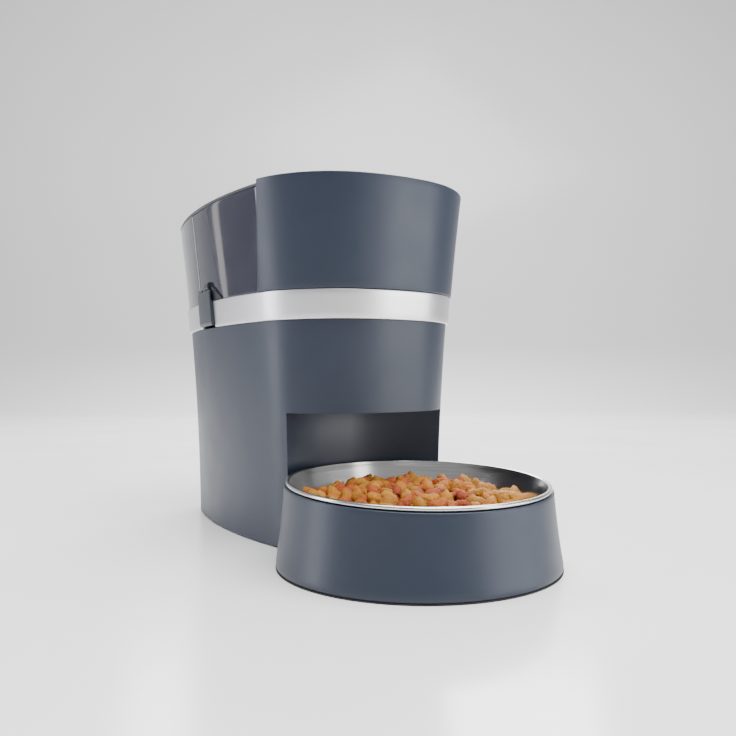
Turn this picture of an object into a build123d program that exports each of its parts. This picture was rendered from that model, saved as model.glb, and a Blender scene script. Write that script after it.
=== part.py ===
from build123d import *

import os
from math import acos, atan2, cos, degrees, hypot, pi, radians, sin, sqrt, tan

os.makedirs("parts", exist_ok=True)

# Automatic pet feeder, millimetres. +Z up, front towards -Y, origin on the counter under
# the middle of the box round the whole feeder.

# Plan of the flared body at its rim: eight tangent arcs, mirrored about X = 0
HALF_WIDTH = 119.5
FRONT_REACH = 194.0
BACK_REACH = 159.0
SIDE_RADIUS = 480.0
END_RADIUS = 170.0
FRONT_CORNER_RADIUS = 92.0
BACK_CORNER_RADIUS = 72.0
PLAN_Y = 87.0

# Flare: how far each level is set in from the rim's plan
HEIGHT = 311.0
FLARE = 21.0
BOW = 4.3

# Levels
SKIRT_LOW = 1.2
DECK_LOW = 190.2
DECK_TOP = 193.2
BAND_LOW = 193.5
BAND_TOP = 218.0
UPSTAND_TOP = 216.0
HOPPER_LOW = 218.3
HOPPER_TOP = 304.0
LID_LOW = 304.3
LID_TOP = 309.3

# Walls, and how far each skin stands in (+) or out (-) from the flared skin
WALL = 3.0
HOPPER_WALL = 2.5
FIT_GAP = 0.3
PANEL_OUTER = -1.2
PANEL_INNER = 0.8
HOPPER_OUTER = 1.0
LID_INSET = 1.2
BAND_OUTER = -0.6
BAND_INNER = 3.4
UPSTAND_OUTER = 3.7
UPSTAND_INNER = 6.4
HOUSING_STEP = 1.6

# Bowl stand, bowl and the recess that they tuck into
BOWL_Y = -134.5
STAND_FOOT_RADIUS = 111.5
STAND_TOP_RADIUS = 104.4
STAND_HEIGHT = 61.5
STAND_TILT = 2.3
STAND_WALL = 2.5
RECESS_RADIUS = 113.6
OVERHANG_Z = 115.5
BOWL_MOUTH_RADIUS = 99.4
BOWL_SHEET = 1.0
BOWL_DEPTH = 42.0
RIM_BEAD_RADIUS = 1.7

# Portioning wheel and its drive
WHEEL_Y = -8.0
WHEEL_Z = 153.0
WHEEL_RADIUS = 30.0
WHEEL_HALF = 30.0
VANES = 6
VANE_THICKNESS = 2.4
HUB_RADIUS = 9.0
CASE_BORE = 31.3
CASE_HALF = 31.0
CASE_RADIUS = 34.0
CASE_OUTER_HALF = 34.5
SHAFT_RADIUS = 4.0
SHAFT_RUNNING = 0.06
GEAR_MODULE = 1.5
GEAR_TEETH = 36
PINION_TEETH = 12
GEAR_LOW_X = 44.0
GEAR_HIGH_X = 52.0
PINION_SHAFT_RADIUS = 2.0
PINION_Y = WHEEL_Y + GEAR_MODULE * (GEAR_TEETH + PINION_TEETH) / 2 + 0.2

# Throat through the deck and outlet through the overhang: length in X, width in Y
THROAT_LENGTH = 72.0
THROAT_WIDTH = 44.0
COLLAR_WIDTH = 37.0
COLLAR_BORE = 31.5
OUTLET_Y = -47.5
OUTLET_LENGTH = 65.4
OUTLET_WIDTH = 30.4

# Side latches
LATCH_Y = 75.0
LATCH_WIDTH = 40.0
LATCH_PLACES = [(110, LATCH_Y), (-110, LATCH_Y)]
LATCH_POCKET_DEPTH = 18.0
LATCH_POCKET_HEIGHT = 10.0
LATCH_PIN_X = 105.7
LATCH_PIN_Z = 198.0
LATCH_PIN_RADIUS = 1.0

# Lid hinge
HINGE_Y = 234.0
HINGE_Z = 306.8
HINGE_PIN_RADIUS = 1.5

# Rear: battery bay, button and inlet
BAY_HALF = 66.5
BAY_LOW = 18.0
BAY_HIGH = 94.0
BAY_FRONT_Y = 168.0
BAY_REAR_Y = 202.0
CELL_RADIUS = 16.7
CELL_LENGTH = 60.0
DOOR_HALF = 69.7
DOOR_LOW = 12.3
DOOR_HIGH = 97.7
BUTTON_Z = 165.0
BUTTON_RADIUS = 8.6
BEZEL_RADIUS = 11.8
LIGHT_X = 22.0
LIGHT_RADIUS = 2.5
BOARD_Y = 208.0
JACK_X = 40.0
JACK_Z = 115.0
JACK_RADIUS = 5.1
JACK_FRONT_Y = 206.0


def set_in(z):
    """Returns how far the outer skin at height z is set in from the rim's plan."""
    level = z / HEIGHT
    return FLARE * (1 - level) + 4 * BOW * level * (1 - level)


def corner(reach, radius):
    """Returns a corner arc's centre and the angles where it meets the end and the side.

    Y runs from the widest line towards that end. The corner touches the end arc and
    the side arc from inside, so its centre is where two circles cross.
    """
    end_y = reach - END_RADIUS
    side_x = HALF_WIDTH - SIDE_RADIUS
    to_end = END_RADIUS - radius
    to_side = SIDE_RADIUS - radius
    apart = hypot(side_x, end_y)
    along = (to_end**2 - to_side**2 + apart**2) / (2 * apart)
    across = sqrt(to_end**2 - along**2)
    x = (along * side_x - across * end_y) / apart
    y = end_y - (along * end_y + across * side_x) / apart
    return x, y, degrees(atan2(y - end_y, x)), degrees(atan2(y, x - side_x))


def plan_arcs():
    """Returns the rim's arcs in order: centre x and y, radius, start angle, arc size."""
    fx, fy, front_end, front_side = corner(FRONT_REACH, FRONT_CORNER_RADIUS)
    bx, by, back_end, back_side = corner(BACK_REACH, BACK_CORNER_RADIUS)
    front_arc = front_end - front_side
    back_arc = back_end - back_side
    side_arc = front_side + back_side
    side_x = HALF_WIDTH - SIDE_RADIUS
    front_y = PLAN_Y - FRONT_REACH + END_RADIUS
    back_y = PLAN_Y + BACK_REACH - END_RADIUS
    return [
        (0, front_y, END_RADIUS, front_end - 180, 180 - 2 * front_end),
        (fx, PLAN_Y - fy, FRONT_CORNER_RADIUS, -front_end, front_arc),
        (side_x, PLAN_Y, SIDE_RADIUS, -front_side, side_arc),
        (bx, PLAN_Y + by, BACK_CORNER_RADIUS, back_side, back_arc),
        (0, back_y, END_RADIUS, back_end, 180 - 2 * back_end),
        (-bx, PLAN_Y + by, BACK_CORNER_RADIUS, 180 - back_end, back_arc),
        (-side_x, PLAN_Y, SIDE_RADIUS, 180 - back_side, side_arc),
        (-fx, PLAN_Y - fy, FRONT_CORNER_RADIUS, 180 + front_side, front_arc),
    ]


def flared_form(inset, low, high, levels=4):
    """Returns the solid inside the flared skin, set in all round, between two heights."""
    with BuildPart() as form:
        for step in range(levels):
            z = low + (high - low) * step / (levels - 1)
            with BuildSketch(Plane.XY.offset(z)):
                with BuildLine():
                    for x, y, radius, start, size in plan_arcs():
                        CenterArc((x, y), radius - inset - set_in(z), start, size)
                make_face()
        loft()
    return form.part


def flared_wall(outer, inner, low, high, levels=4):
    """Returns a closed wall between two insets of the flared skin and two heights."""
    with BuildPart() as wall:
        add(flared_form(outer, low, high, levels))
        add(flared_form(inner, low, high, levels), mode=Mode.SUBTRACT)
    return wall.part


def save(builder, label):
    """Labels a finished piece and writes its STEP file."""
    builder.part.label = label
    export_step(builder.part, "parts/" + label + ".step")


def gear_points(teeth, thinning, turn, centre_y):
    """Returns a spur gear's outline: involute flanks at 20 degrees, turned in degrees."""
    pitch = GEAR_MODULE * teeth / 2
    base = pitch * cos(radians(20))
    root = pitch - 1.25 * GEAR_MODULE
    radii = [root, max(base, root + 0.1), pitch, pitch + 0.85 * GEAR_MODULE]
    pressure = tan(radians(20)) - radians(20)
    points = []
    for tooth in range(teeth):
        middle = radians(turn) + 2 * pi * tooth / teeth
        flank = []
        for radius in radii:
            slope = acos(min(1, base / radius))
            half = pi / (2 * teeth) - thinning / pitch + pressure - (tan(slope) - slope)
            flank.append((radius, half))
        turned = [(radius, middle - half) for radius, half in flank]
        turned += [(radius, middle + half) for radius, half in reversed(flank)]
        for radius, angle in turned:
            points.append((centre_y + radius * cos(angle), WHEEL_Z + radius * sin(angle)))
    return points


# ---------------------------------------------------------------- base housing
# Hollow inside the housing: set in by one wall, and pushed back from the bowl recess
with BuildPart() as housing_hollow:
    add(flared_form(HOUSING_STEP + WALL, 0, DECK_LOW))
    with BuildSketch():
        with Locations((0, BOWL_Y)):
            Circle(RECESS_RADIUS + WALL)
    extrude(amount=OVERHANG_Z + WALL, mode=Mode.SUBTRACT)

BOSS_PLACES = [(84, 30), (84, 144), (-84, 30), (-84, 144), (55, -25.6), (-55, -25.6)]
BOSS_RIB_PLACES = [(88.5, 30), (88.5, 144), (-88.5, 30), (-88.5, 144)]
BOSS_LOW = 5.4
BOSS_HIGH = 42.0
BOSS_RADIUS = 6.0
BOSS_RIB_LENGTH = 7.0
SCREW_PILOT = 1.6
PILOT_DEPTH = 20.0
CASING_PILOT = 1.45
LUG_THICKNESS = 3.0
CASING_SCREW_PLACES = [(42, -27), (42, 11), (-42, -27), (-42, 11)]
LUG_LOW = 183.5

with BuildPart() as base_housing:
    add(flared_form(HOUSING_STEP, SKIRT_LOW, DECK_TOP))
    add(housing_hollow.part, mode=Mode.SUBTRACT)
    with BuildSketch():
        with Locations((0, BOWL_Y)):
            Circle(RECESS_RADIUS)
    extrude(amount=OVERHANG_Z, mode=Mode.SUBTRACT)
    # upstand that the band clips round and the hopper nests on
    add(flared_wall(UPSTAND_OUTER, UPSTAND_INNER, DECK_LOW, UPSTAND_TOP))
    # clearance pockets behind the two latches
    with BuildSketch(Plane.XY.offset(DECK_TOP)):
        with Locations(*LATCH_PLACES):
            Rectangle(LATCH_POCKET_DEPTH, LATCH_WIDTH + 2)
    extrude(amount=LATCH_POCKET_HEIGHT, mode=Mode.SUBTRACT)
    # throat through the deck and outlet through the overhang
    with BuildSketch(Plane.XY.offset(DECK_LOW - 1)):
        with Locations((0, WHEEL_Y)):
            Rectangle(THROAT_LENGTH, THROAT_WIDTH)
    extrude(amount=WALL + 2, mode=Mode.SUBTRACT)
    with BuildSketch(Plane.XY.offset(OVERHANG_Z - 1)):
        with Locations((0, OUTLET_Y)):
            Rectangle(OUTLET_LENGTH, OUTLET_WIDTH)
    extrude(amount=WALL + 2, mode=Mode.SUBTRACT)
    # battery window, button hole, light hole and inlet hole in the rear wall
    with BuildSketch(Plane.XZ.offset(-180)):
        with Locations((0, 55)):
            Rectangle(2 * DOOR_HALF + 0.6, DOOR_HIGH - DOOR_LOW + 0.6)
        with Locations((0, BUTTON_Z)):
            Circle(BEZEL_RADIUS + 0.2)
        with Locations((LIGHT_X, BUTTON_Z)):
            Circle(LIGHT_RADIUS + 0.1)
        with Locations((JACK_X, JACK_Z)):
            Circle(JACK_RADIUS + 0.2)
    extrude(amount=-80, mode=Mode.SUBTRACT)
    # screw bosses
    with BuildSketch(Plane.XY.offset(BOSS_LOW)):
        with Locations(*BOSS_PLACES):
            Circle(BOSS_RADIUS)
        with Locations(*BOSS_RIB_PLACES):
            Rectangle(BOSS_RIB_LENGTH, WALL)
    extrude(amount=BOSS_HIGH - BOSS_LOW)
    with BuildSketch(Plane.XY.offset(BOSS_LOW)):
        with Locations(*BOSS_PLACES):
            Circle(SCREW_PILOT)
    extrude(amount=PILOT_DEPTH, mode=Mode.SUBTRACT)
    # bosses under the deck that the dispenser casing hangs from
    with BuildSketch(Plane.XY.offset(LUG_LOW + LUG_THICKNESS + 0.1)):
        with Locations(*CASING_SCREW_PLACES):
            Circle(3.5)
            Circle(CASING_PILOT, mode=Mode.SUBTRACT)
    extrude(amount=DECK_LOW - LUG_LOW - LUG_THICKNESS)
save(base_housing, "base_housing")

# ---------------------------------------------------------------- base plate, feet, screws
PLATE_LOW = 2.4
PLATE_TOP = 5.2
FOOT_PLACES = [(66, -20), (-66, -20), (62, 190), (-62, 190)]
FOOT_RADIUS = 8.0
SCREW_HEAD_RADIUS = 4.0
SCREW_LENGTH = 18.0

with BuildPart() as base_plate:
    add(flared_form(HOUSING_STEP + WALL + FIT_GAP + 0.4, PLATE_LOW, PLATE_TOP, 3))
    with BuildSketch():
        with Locations((0, BOWL_Y)):
            Circle(RECESS_RADIUS + WALL + FIT_GAP)
    extrude(amount=20, mode=Mode.SUBTRACT)
    with BuildSketch():
        with Locations(*BOSS_PLACES):
            Circle(SCREW_HEAD_RADIUS + 0.3)
    extrude(amount=PLATE_LOW + 1.6, mode=Mode.SUBTRACT)
    with BuildSketch():
        with Locations(*BOSS_PLACES):
            Circle(SCREW_PILOT + 0.6)
    extrude(amount=20, mode=Mode.SUBTRACT)
save(base_plate, "base_plate")

with BuildPart() as base_screws:
    with BuildSketch(Plane.XY.offset(PLATE_LOW)):
        with Locations(*BOSS_PLACES):
            Circle(SCREW_HEAD_RADIUS)
    extrude(amount=1.5)
    with BuildSketch(Plane.XY.offset(PLATE_LOW + 1.4)):
        with Locations(*BOSS_PLACES):
            Circle(SCREW_PILOT - 0.05)
    extrude(amount=SCREW_LENGTH)
save(base_screws, "base_screws")

with BuildPart() as base_feet:
    with BuildSketch():
        with Locations(*FOOT_PLACES):
            Circle(FOOT_RADIUS)
    extrude(amount=PLATE_LOW)
    chamfer(base_feet.edges().group_by(Axis.Z)[0], 0.8)
save(base_feet, "base_feet")

# ---------------------------------------------------------------- silver band
with BuildPart() as silver_band:
    add(flared_wall(BAND_OUTER, BAND_INNER, BAND_LOW, BAND_TOP))
    # gaps for the latches, and holes for their pivot pins
    with BuildSketch(Plane.XY.offset(BAND_LOW - 1)):
        with Locations(*LATCH_PLACES):
            Rectangle(40, LATCH_WIDTH + 1.4)
    extrude(amount=40, mode=Mode.SUBTRACT)
    with BuildSketch(Plane.XZ.offset(-LATCH_Y)):
        with Locations((LATCH_PIN_X, LATCH_PIN_Z), (-LATCH_PIN_X, LATCH_PIN_Z)):
            Circle(LATCH_PIN_RADIUS + 0.02)
    extrude(amount=LATCH_WIDTH / 2 + 4, both=True, mode=Mode.SUBTRACT)
save(silver_band, "silver_band")

with BuildPart() as latch_pins:
    with BuildSketch(Plane.XZ.offset(-LATCH_Y)):
        with Locations((LATCH_PIN_X, LATCH_PIN_Z), (-LATCH_PIN_X, LATCH_PIN_Z)):
            Circle(LATCH_PIN_RADIUS)
    extrude(amount=LATCH_WIDTH / 2 + 3.5, both=True)
save(latch_pins, "latch_pins")

# ---------------------------------------------------------------- side latches
# Section of the right-hand latch across the feeder, from the pivot up to its hook
LATCH_BUMP_X = 111.8
LATCH_BUMP_LENGTH = 12.0
LATCH_OUTLINE = [
    (103.9, 195.6),
    (109.9, 195.2),
    (110.8, 198.0),
    (112.9, 226.5),
    (112.3, 228.5),
    (110.7, 228.5),
    (110.7, 220.0),
    (107.6, 217.0),
    (104.4, 200.5),
]

with BuildPart() as latch_right:
    with BuildSketch(Plane.XZ.offset(-LATCH_Y)):
        with BuildLine():
            Polyline(*LATCH_OUTLINE, close=True)
        make_face()
        with Locations((LATCH_PIN_X, LATCH_PIN_Z)):
            Circle(LATCH_PIN_RADIUS + SHAFT_RUNNING, mode=Mode.SUBTRACT)
    extrude(amount=LATCH_WIDTH / 2, both=True)
    # two bumps on the top edge
    with BuildSketch(Plane.XY.offset(228)):
        with Locations((LATCH_BUMP_X, LATCH_Y - 9), (LATCH_BUMP_X, LATCH_Y + 12)):
            Rectangle(1.8, LATCH_BUMP_LENGTH)
    extrude(amount=3.2)
save(latch_right, "latch_right")

with BuildPart() as latch_left:
    add(latch_right.part)
    mirror(about=Plane.YZ, mode=Mode.REPLACE)
save(latch_left, "latch_left")

# ---------------------------------------------------------------- dispenser casing
# Sketches on Plane.YZ have Y across and Z up; the casing is extruded along X
CHUTE_OUTER = [
    (-63, 119),
    (-63, 144),
    (-41, 160),
    (WHEEL_Y, WHEEL_Z),
    (-18, 122),
    (-31.5, 119),
]
CHUTE_INNER = [
    (-60.5, 118),
    (-60.5, 142),
    (-39.2, 151.3),
    (WHEEL_Y, WHEEL_Z),
    (-21.2, 125.6),
    (-34, 118),
]
COLLAR_TOP = 187.5
# Outline that the casing's flange and the gear case share: round the gear and the pinion
FLANGE_GEAR_RADIUS = 33.0
FLANGE_PINION_RADIUS = 15.0
BUSH_RADIUS = 6.95

with BuildPart() as dispenser_casing:
    with BuildSketch(Plane.YZ):
        with Locations((WHEEL_Y, WHEEL_Z)):
            Circle(CASE_RADIUS)
        with Locations((WHEEL_Y, (WHEEL_Z + COLLAR_TOP) / 2)):
            Rectangle(COLLAR_WIDTH, COLLAR_TOP - WHEEL_Z)
        with BuildLine():
            Polyline(*CHUTE_OUTER, close=True)
        make_face()
    extrude(amount=CASE_OUTER_HALF, both=True)
    with BuildSketch(Plane.YZ):
        with Locations((WHEEL_Y, WHEEL_Z)):
            Circle(CASE_BORE)
        with Locations((WHEEL_Y, WHEEL_Z + 30)):
            Rectangle(COLLAR_BORE, 60)
        with BuildLine():
            Polyline(*CHUTE_INNER, close=True)
        make_face()
    extrude(amount=CASE_HALF, both=True, mode=Mode.SUBTRACT)
    # flange that the gear case closes against
    with BuildSketch(Plane.YZ.offset(CASE_HALF + 0.5)):
        with Locations((WHEEL_Y, WHEEL_Z)):
            Circle(FLANGE_GEAR_RADIUS)
        with Locations((PINION_Y, WHEEL_Z)):
            Circle(FLANGE_PINION_RADIUS)
        with Locations(((WHEEL_Y + PINION_Y) / 2, WHEEL_Z)):
            Rectangle(PINION_Y - WHEEL_Y, 2 * FLANGE_PINION_RADIUS)
    extrude(amount=3)
    with BuildSketch(Plane.YZ):
        with Locations((WHEEL_Y, WHEEL_Z)):
            Circle(BUSH_RADIUS + 0.05)
    extrude(amount=50, both=True, mode=Mode.SUBTRACT)
    # four lugs that hang the casing from the deck
    with BuildSketch(Plane.XY.offset(LUG_LOW)):
        for x, y in CASING_SCREW_PLACES:
            with Locations((x * 0.92, y)):
                Rectangle(14, 10)
        with Locations(*CASING_SCREW_PLACES):
            Circle(CASING_PILOT + 0.15, mode=Mode.SUBTRACT)
    extrude(amount=LUG_THICKNESS)
    with BuildSketch(Plane.YZ):
        with Locations((WHEEL_Y, WHEEL_Z + 30)):
            Rectangle(COLLAR_BORE, 60)
    extrude(amount=CASE_HALF, both=True, mode=Mode.SUBTRACT)
save(dispenser_casing, "dispenser_casing")

with BuildPart() as casing_screws:
    with BuildSketch(Plane.XY.offset(LUG_LOW - 1.9)):
        with Locations(*CASING_SCREW_PLACES):
            Circle(2.6)
    extrude(amount=1.9)
    with BuildSketch(Plane.XY.offset(LUG_LOW)):
        with Locations(*CASING_SCREW_PLACES):
            Circle(CASING_PILOT - 0.05)
    extrude(amount=6)
save(casing_screws, "casing_screws")

with BuildPart() as throat_seal:
    with BuildSketch(Plane.XY.offset(COLLAR_TOP)):
        with Locations((0, WHEEL_Y)):
            Rectangle(2 * CASE_OUTER_HALF, COLLAR_WIDTH)
            Rectangle(2 * CASE_HALF, COLLAR_BORE, mode=Mode.SUBTRACT)
    extrude(amount=2.5)
save(throat_seal, "throat_seal")

with BuildPart() as chute_nozzle:
    with BuildSketch(Plane.XY.offset(OVERHANG_Z + 0.3)):
        with Locations((0, OUTLET_Y)):
            Rectangle(OUTLET_LENGTH - 0.4, OUTLET_WIDTH - 0.4)
            Rectangle(OUTLET_LENGTH - 4.4, OUTLET_WIDTH - 4.4, mode=Mode.SUBTRACT)
    extrude(amount=3.2)
save(chute_nozzle, "chute_nozzle")

with BuildPart() as chute_sensors:
    with BuildSketch(Plane.XY.offset(124)):
        with Locations((36.6, -51), (-36.6, -51)):
            Rectangle(4, 8)
    extrude(amount=7)
save(chute_sensors, "chute_sensors")

# ---------------------------------------------------------------- portioning wheel
with BuildPart() as paddle_wheel:
    with BuildSketch(Plane.YZ.offset(-WHEEL_HALF)):
        with Locations((WHEEL_Y, WHEEL_Z)):
            Circle(HUB_RADIUS)
            with PolarLocations(WHEEL_RADIUS / 2 + 2, VANES, start_angle=30):
                Rectangle(WHEEL_RADIUS - 4, VANE_THICKNESS)
    extrude(amount=2 * WHEEL_HALF)
    with BuildSketch(Plane.YZ):
        with Locations((WHEEL_Y, WHEEL_Z)):
            Circle(SHAFT_RADIUS + 0.05)
    extrude(amount=50, both=True, mode=Mode.SUBTRACT)
save(paddle_wheel, "paddle_wheel")

SHAFT_LOW_X = -41.0
SHAFT_HIGH_X = 55.4

with BuildPart() as wheel_shaft:
    with BuildSketch(Plane.YZ.offset(SHAFT_LOW_X)):
        with Locations((WHEEL_Y, WHEEL_Z)):
            Circle(SHAFT_RADIUS)
    extrude(amount=SHAFT_HIGH_X - SHAFT_LOW_X)
    chamfer(wheel_shaft.edges(), 0.4)
save(wheel_shaft, "wheel_shaft")

with BuildPart() as shaft_bushes:
    for side in (-1, 1):
        with BuildSketch(Plane.YZ.offset(side * (CASE_OUTER_HALF + 0.9))):
            with Locations((WHEEL_Y, WHEEL_Z)):
                Circle(BUSH_RADIUS)
                Circle(SHAFT_RADIUS + SHAFT_RUNNING, mode=Mode.SUBTRACT)
        extrude(amount=-side * 4.4)
        with BuildSketch(Plane.YZ.offset(side * (CASE_OUTER_HALF + 0.1))):
            with Locations((WHEEL_Y, WHEEL_Z)):
                Circle(9)
                Circle(SHAFT_RADIUS + SHAFT_RUNNING, mode=Mode.SUBTRACT)
        extrude(amount=side * 1.5)
save(shaft_bushes, "shaft_bushes")

with BuildPart() as wheel_gear:
    with BuildSketch(Plane.YZ.offset(GEAR_LOW_X)):
        with BuildLine():
            Polyline(*gear_points(GEAR_TEETH, 0.12, 0, WHEEL_Y), close=True)
        make_face()
        with Locations((WHEEL_Y, WHEEL_Z)):
            Circle(SHAFT_RADIUS + 0.05, mode=Mode.SUBTRACT)
            with PolarLocations(15, 5):
                Circle(5.2, mode=Mode.SUBTRACT)
    extrude(amount=GEAR_HIGH_X - GEAR_LOW_X)
save(wheel_gear, "wheel_gear")

with BuildPart() as motor_pinion:
    with BuildSketch(Plane.YZ.offset(GEAR_LOW_X - 0.5)):
        with BuildLine():
            Polyline(*gear_points(PINION_TEETH, 0.12, 15, PINION_Y), close=True)
        make_face()
        with Locations((PINION_Y, WHEEL_Z)):
            Circle(PINION_SHAFT_RADIUS + 0.05, mode=Mode.SUBTRACT)
    extrude(amount=GEAR_HIGH_X - GEAR_LOW_X + 1)
save(motor_pinion, "motor_pinion")

with BuildPart() as pinion_shaft:
    with BuildSketch(Plane.YZ.offset(42)):
        with Locations((PINION_Y, WHEEL_Z)):
            Circle(PINION_SHAFT_RADIUS)
    extrude(amount=19)
save(pinion_shaft, "pinion_shaft")

# ---------------------------------------------------------------- gear case and motor
GEAR_CASE_LOW_X = 34.7
GEAR_CASE_HIGH_X = 56.0
GEAR_CASE_WALL = 2.0
MOTOR_BOX_RADIUS = 14.5
MOTOR_BOX_LENGTH = 15.0
MOTOR_RADIUS = 12.0
MOTOR_LENGTH = 17.0

with BuildPart() as gear_case:
    with BuildSketch(Plane.YZ.offset(GEAR_CASE_LOW_X)):
        with Locations((WHEEL_Y, WHEEL_Z)):
            Circle(FLANGE_GEAR_RADIUS)
        with Locations((PINION_Y, WHEEL_Z)):
            Circle(FLANGE_PINION_RADIUS)
        with Locations(((WHEEL_Y + PINION_Y) / 2, WHEEL_Z)):
            Rectangle(PINION_Y - WHEEL_Y, 2 * FLANGE_PINION_RADIUS)
    extrude(amount=GEAR_CASE_HIGH_X - GEAR_CASE_LOW_X)
    with BuildSketch(Plane.YZ.offset(GEAR_CASE_LOW_X)):
        with Locations((WHEEL_Y, WHEEL_Z)):
            Circle(FLANGE_GEAR_RADIUS - GEAR_CASE_WALL)
        with Locations((PINION_Y, WHEEL_Z)):
            Circle(FLANGE_PINION_RADIUS - GEAR_CASE_WALL)
        with Locations(((WHEEL_Y + PINION_Y) / 2, WHEEL_Z)):
            Rectangle(PINION_Y - WHEEL_Y, 2 * (FLANGE_PINION_RADIUS - GEAR_CASE_WALL))
    extrude(amount=GEAR_CASE_HIGH_X - GEAR_CASE_LOW_X - GEAR_CASE_WALL, mode=Mode.SUBTRACT)
    with BuildSketch(Plane.YZ.offset(GEAR_CASE_LOW_X)):
        with Locations((WHEEL_Y, WHEEL_Z)):
            Circle(SHAFT_RADIUS + SHAFT_RUNNING)
        with Locations((PINION_Y, WHEEL_Z)):
            Circle(3.5)
    extrude(amount=40, mode=Mode.SUBTRACT)
save(gear_case, "gear_case")

with BuildPart() as gearmotor_box:
    with BuildSketch(Plane.YZ.offset(GEAR_CASE_HIGH_X + 0.1)):
        with Locations((PINION_Y, WHEEL_Z)):
            Circle(MOTOR_BOX_RADIUS)
    extrude(amount=MOTOR_BOX_LENGTH)
    with BuildSketch(Plane.YZ.offset(GEAR_CASE_HIGH_X)):
        with Locations((PINION_Y, WHEEL_Z)):
            Circle(PINION_SHAFT_RADIUS + SHAFT_RUNNING)
    extrude(amount=6, mode=Mode.SUBTRACT)
save(gearmotor_box, "gearmotor_box")

with BuildPart() as motor_can:
    with BuildSketch(Plane.YZ.offset(GEAR_CASE_HIGH_X + MOTOR_BOX_LENGTH + 0.2)):
        with Locations((PINION_Y, WHEEL_Z)):
            Circle(MOTOR_RADIUS)
    extrude(amount=MOTOR_LENGTH)
    with BuildSketch(Plane.YZ.offset(GEAR_CASE_HIGH_X + MOTOR_BOX_LENGTH + MOTOR_LENGTH + 0.2)):
        with Locations((PINION_Y, WHEEL_Z)):
            Circle(4)
    extrude(amount=2)
save(motor_can, "motor_can")

# ---------------------------------------------------------------- electronics
BOARD_Z = 158.0
BOARD_WIDTH = 84.0
BOARD_HEIGHT = 44.0
BOARD_THICKNESS = 1.6
BOARD_SCREW_RADIUS = 1.6
BOARD_EDGE = 4.0

with BuildPart() as control_board:
    with BuildSketch(Plane.XZ.offset(-BOARD_Y)):
        with Locations((0, BOARD_Z)):
            Rectangle(BOARD_WIDTH, BOARD_HEIGHT)
            with GridLocations(BOARD_WIDTH - 2 * BOARD_EDGE, BOARD_HEIGHT - 2 * BOARD_EDGE, 2, 2):
                Circle(BOARD_SCREW_RADIUS + 0.1, mode=Mode.SUBTRACT)
    extrude(amount=BOARD_THICKNESS)
save(control_board, "control_board")

with BuildPart() as board_screws:
    with BuildSketch(Plane.XZ.offset(-BOARD_Y)):
        with Locations((0, BOARD_Z)):
            with GridLocations(BOARD_WIDTH - 2 * BOARD_EDGE, BOARD_HEIGHT - 2 * BOARD_EDGE, 2, 2):
                Circle(BOARD_SCREW_RADIUS)
    extrude(amount=4, both=True)
save(board_screws, "board_screws")

with BuildPart() as board_parts:
    with BuildSketch(Plane.XZ.offset(-BOARD_Y + BOARD_THICKNESS + 0.1)):
        with Locations((-22, 160)):
            Rectangle(18, 25)
        with Locations((8, 168)):
            Rectangle(12, 12)
        with Locations((10, 148)):
            Rectangle(9, 5)
        with Locations((28, 146)):
            Rectangle(16, 6)
    extrude(amount=3)
    with BuildSketch(Plane.XZ.offset(-BOARD_Y + BOARD_THICKNESS + 0.1)):
        with Locations((28, 163), (28, 155)):
            Circle(3.2)
    extrude(amount=9)
save(board_parts, "board_parts")

with BuildPart() as button_switch:
    with BuildSketch(Plane.XZ.offset(-BOARD_Y - 0.1)):
        with Locations((0, BUTTON_Z)):
            Rectangle(6, 6)
    extrude(amount=-3.4)
save(button_switch, "button_switch")

BUTTON_REAR_Y = 232.6
BUTTON_TRAVEL = 1.5

with BuildPart() as feed_button:
    with BuildSketch(Plane.XZ.offset(-BOARD_Y - 3.6 - BUTTON_TRAVEL)):
        with Locations((0, BUTTON_Z)):
            Circle(2.5)
    extrude(amount=-10)
    with BuildSketch(Plane.XZ.offset(-BOARD_Y - 13)):
        with Locations((0, BUTTON_Z)):
            Circle(BUTTON_RADIUS)
    extrude(amount=-(BUTTON_REAR_Y - BOARD_Y - 13))
    chamfer(feed_button.faces().sort_by(Axis.Y)[-1].edges(), 0.6)
save(feed_button, "feed_button")

with BuildPart() as button_bezel:
    with BuildSketch(Plane.XZ.offset(-BOARD_Y - 10)):
        with Locations((0, BUTTON_Z)):
            Circle(BEZEL_RADIUS)
            Circle(BUTTON_RADIUS + 0.4, mode=Mode.SUBTRACT)
    extrude(amount=-(BUTTON_REAR_Y - BOARD_Y - 9.6))
save(button_bezel, "button_bezel")

with BuildPart() as status_light:
    with BuildSketch(Plane.XZ.offset(-BOARD_Y - 2)):
        with Locations((LIGHT_X, BUTTON_Z)):
            Circle(LIGHT_RADIUS)
    extrude(amount=-17.4)
save(status_light, "status_light")

with BuildPart() as power_jack:
    with BuildSketch(Plane.XZ.offset(-JACK_FRONT_Y)):
        with Locations((JACK_X, JACK_Z)):
            Circle(JACK_RADIUS)
    extrude(amount=-16.5)
    with BuildSketch(Plane.XZ.offset(-JACK_FRONT_Y - 4)):
        with Locations((JACK_X, JACK_Z)):
            Circle(3.2)
            Circle(1, mode=Mode.SUBTRACT)
    extrude(amount=-14, mode=Mode.SUBTRACT)
    with BuildSketch(Plane.XZ.offset(-JACK_FRONT_Y)):
        with Locations((JACK_X, JACK_Z)):
            Rectangle(11, 11)
    extrude(amount=-6)
save(power_jack, "power_jack")

# ---------------------------------------------------------------- back-up battery
TRAY_WALL = 2.0
CELL_ROWS = [BAY_LOW + 18.5, BAY_HIGH - 18.5]
CELL_Y = 184.9

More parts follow.
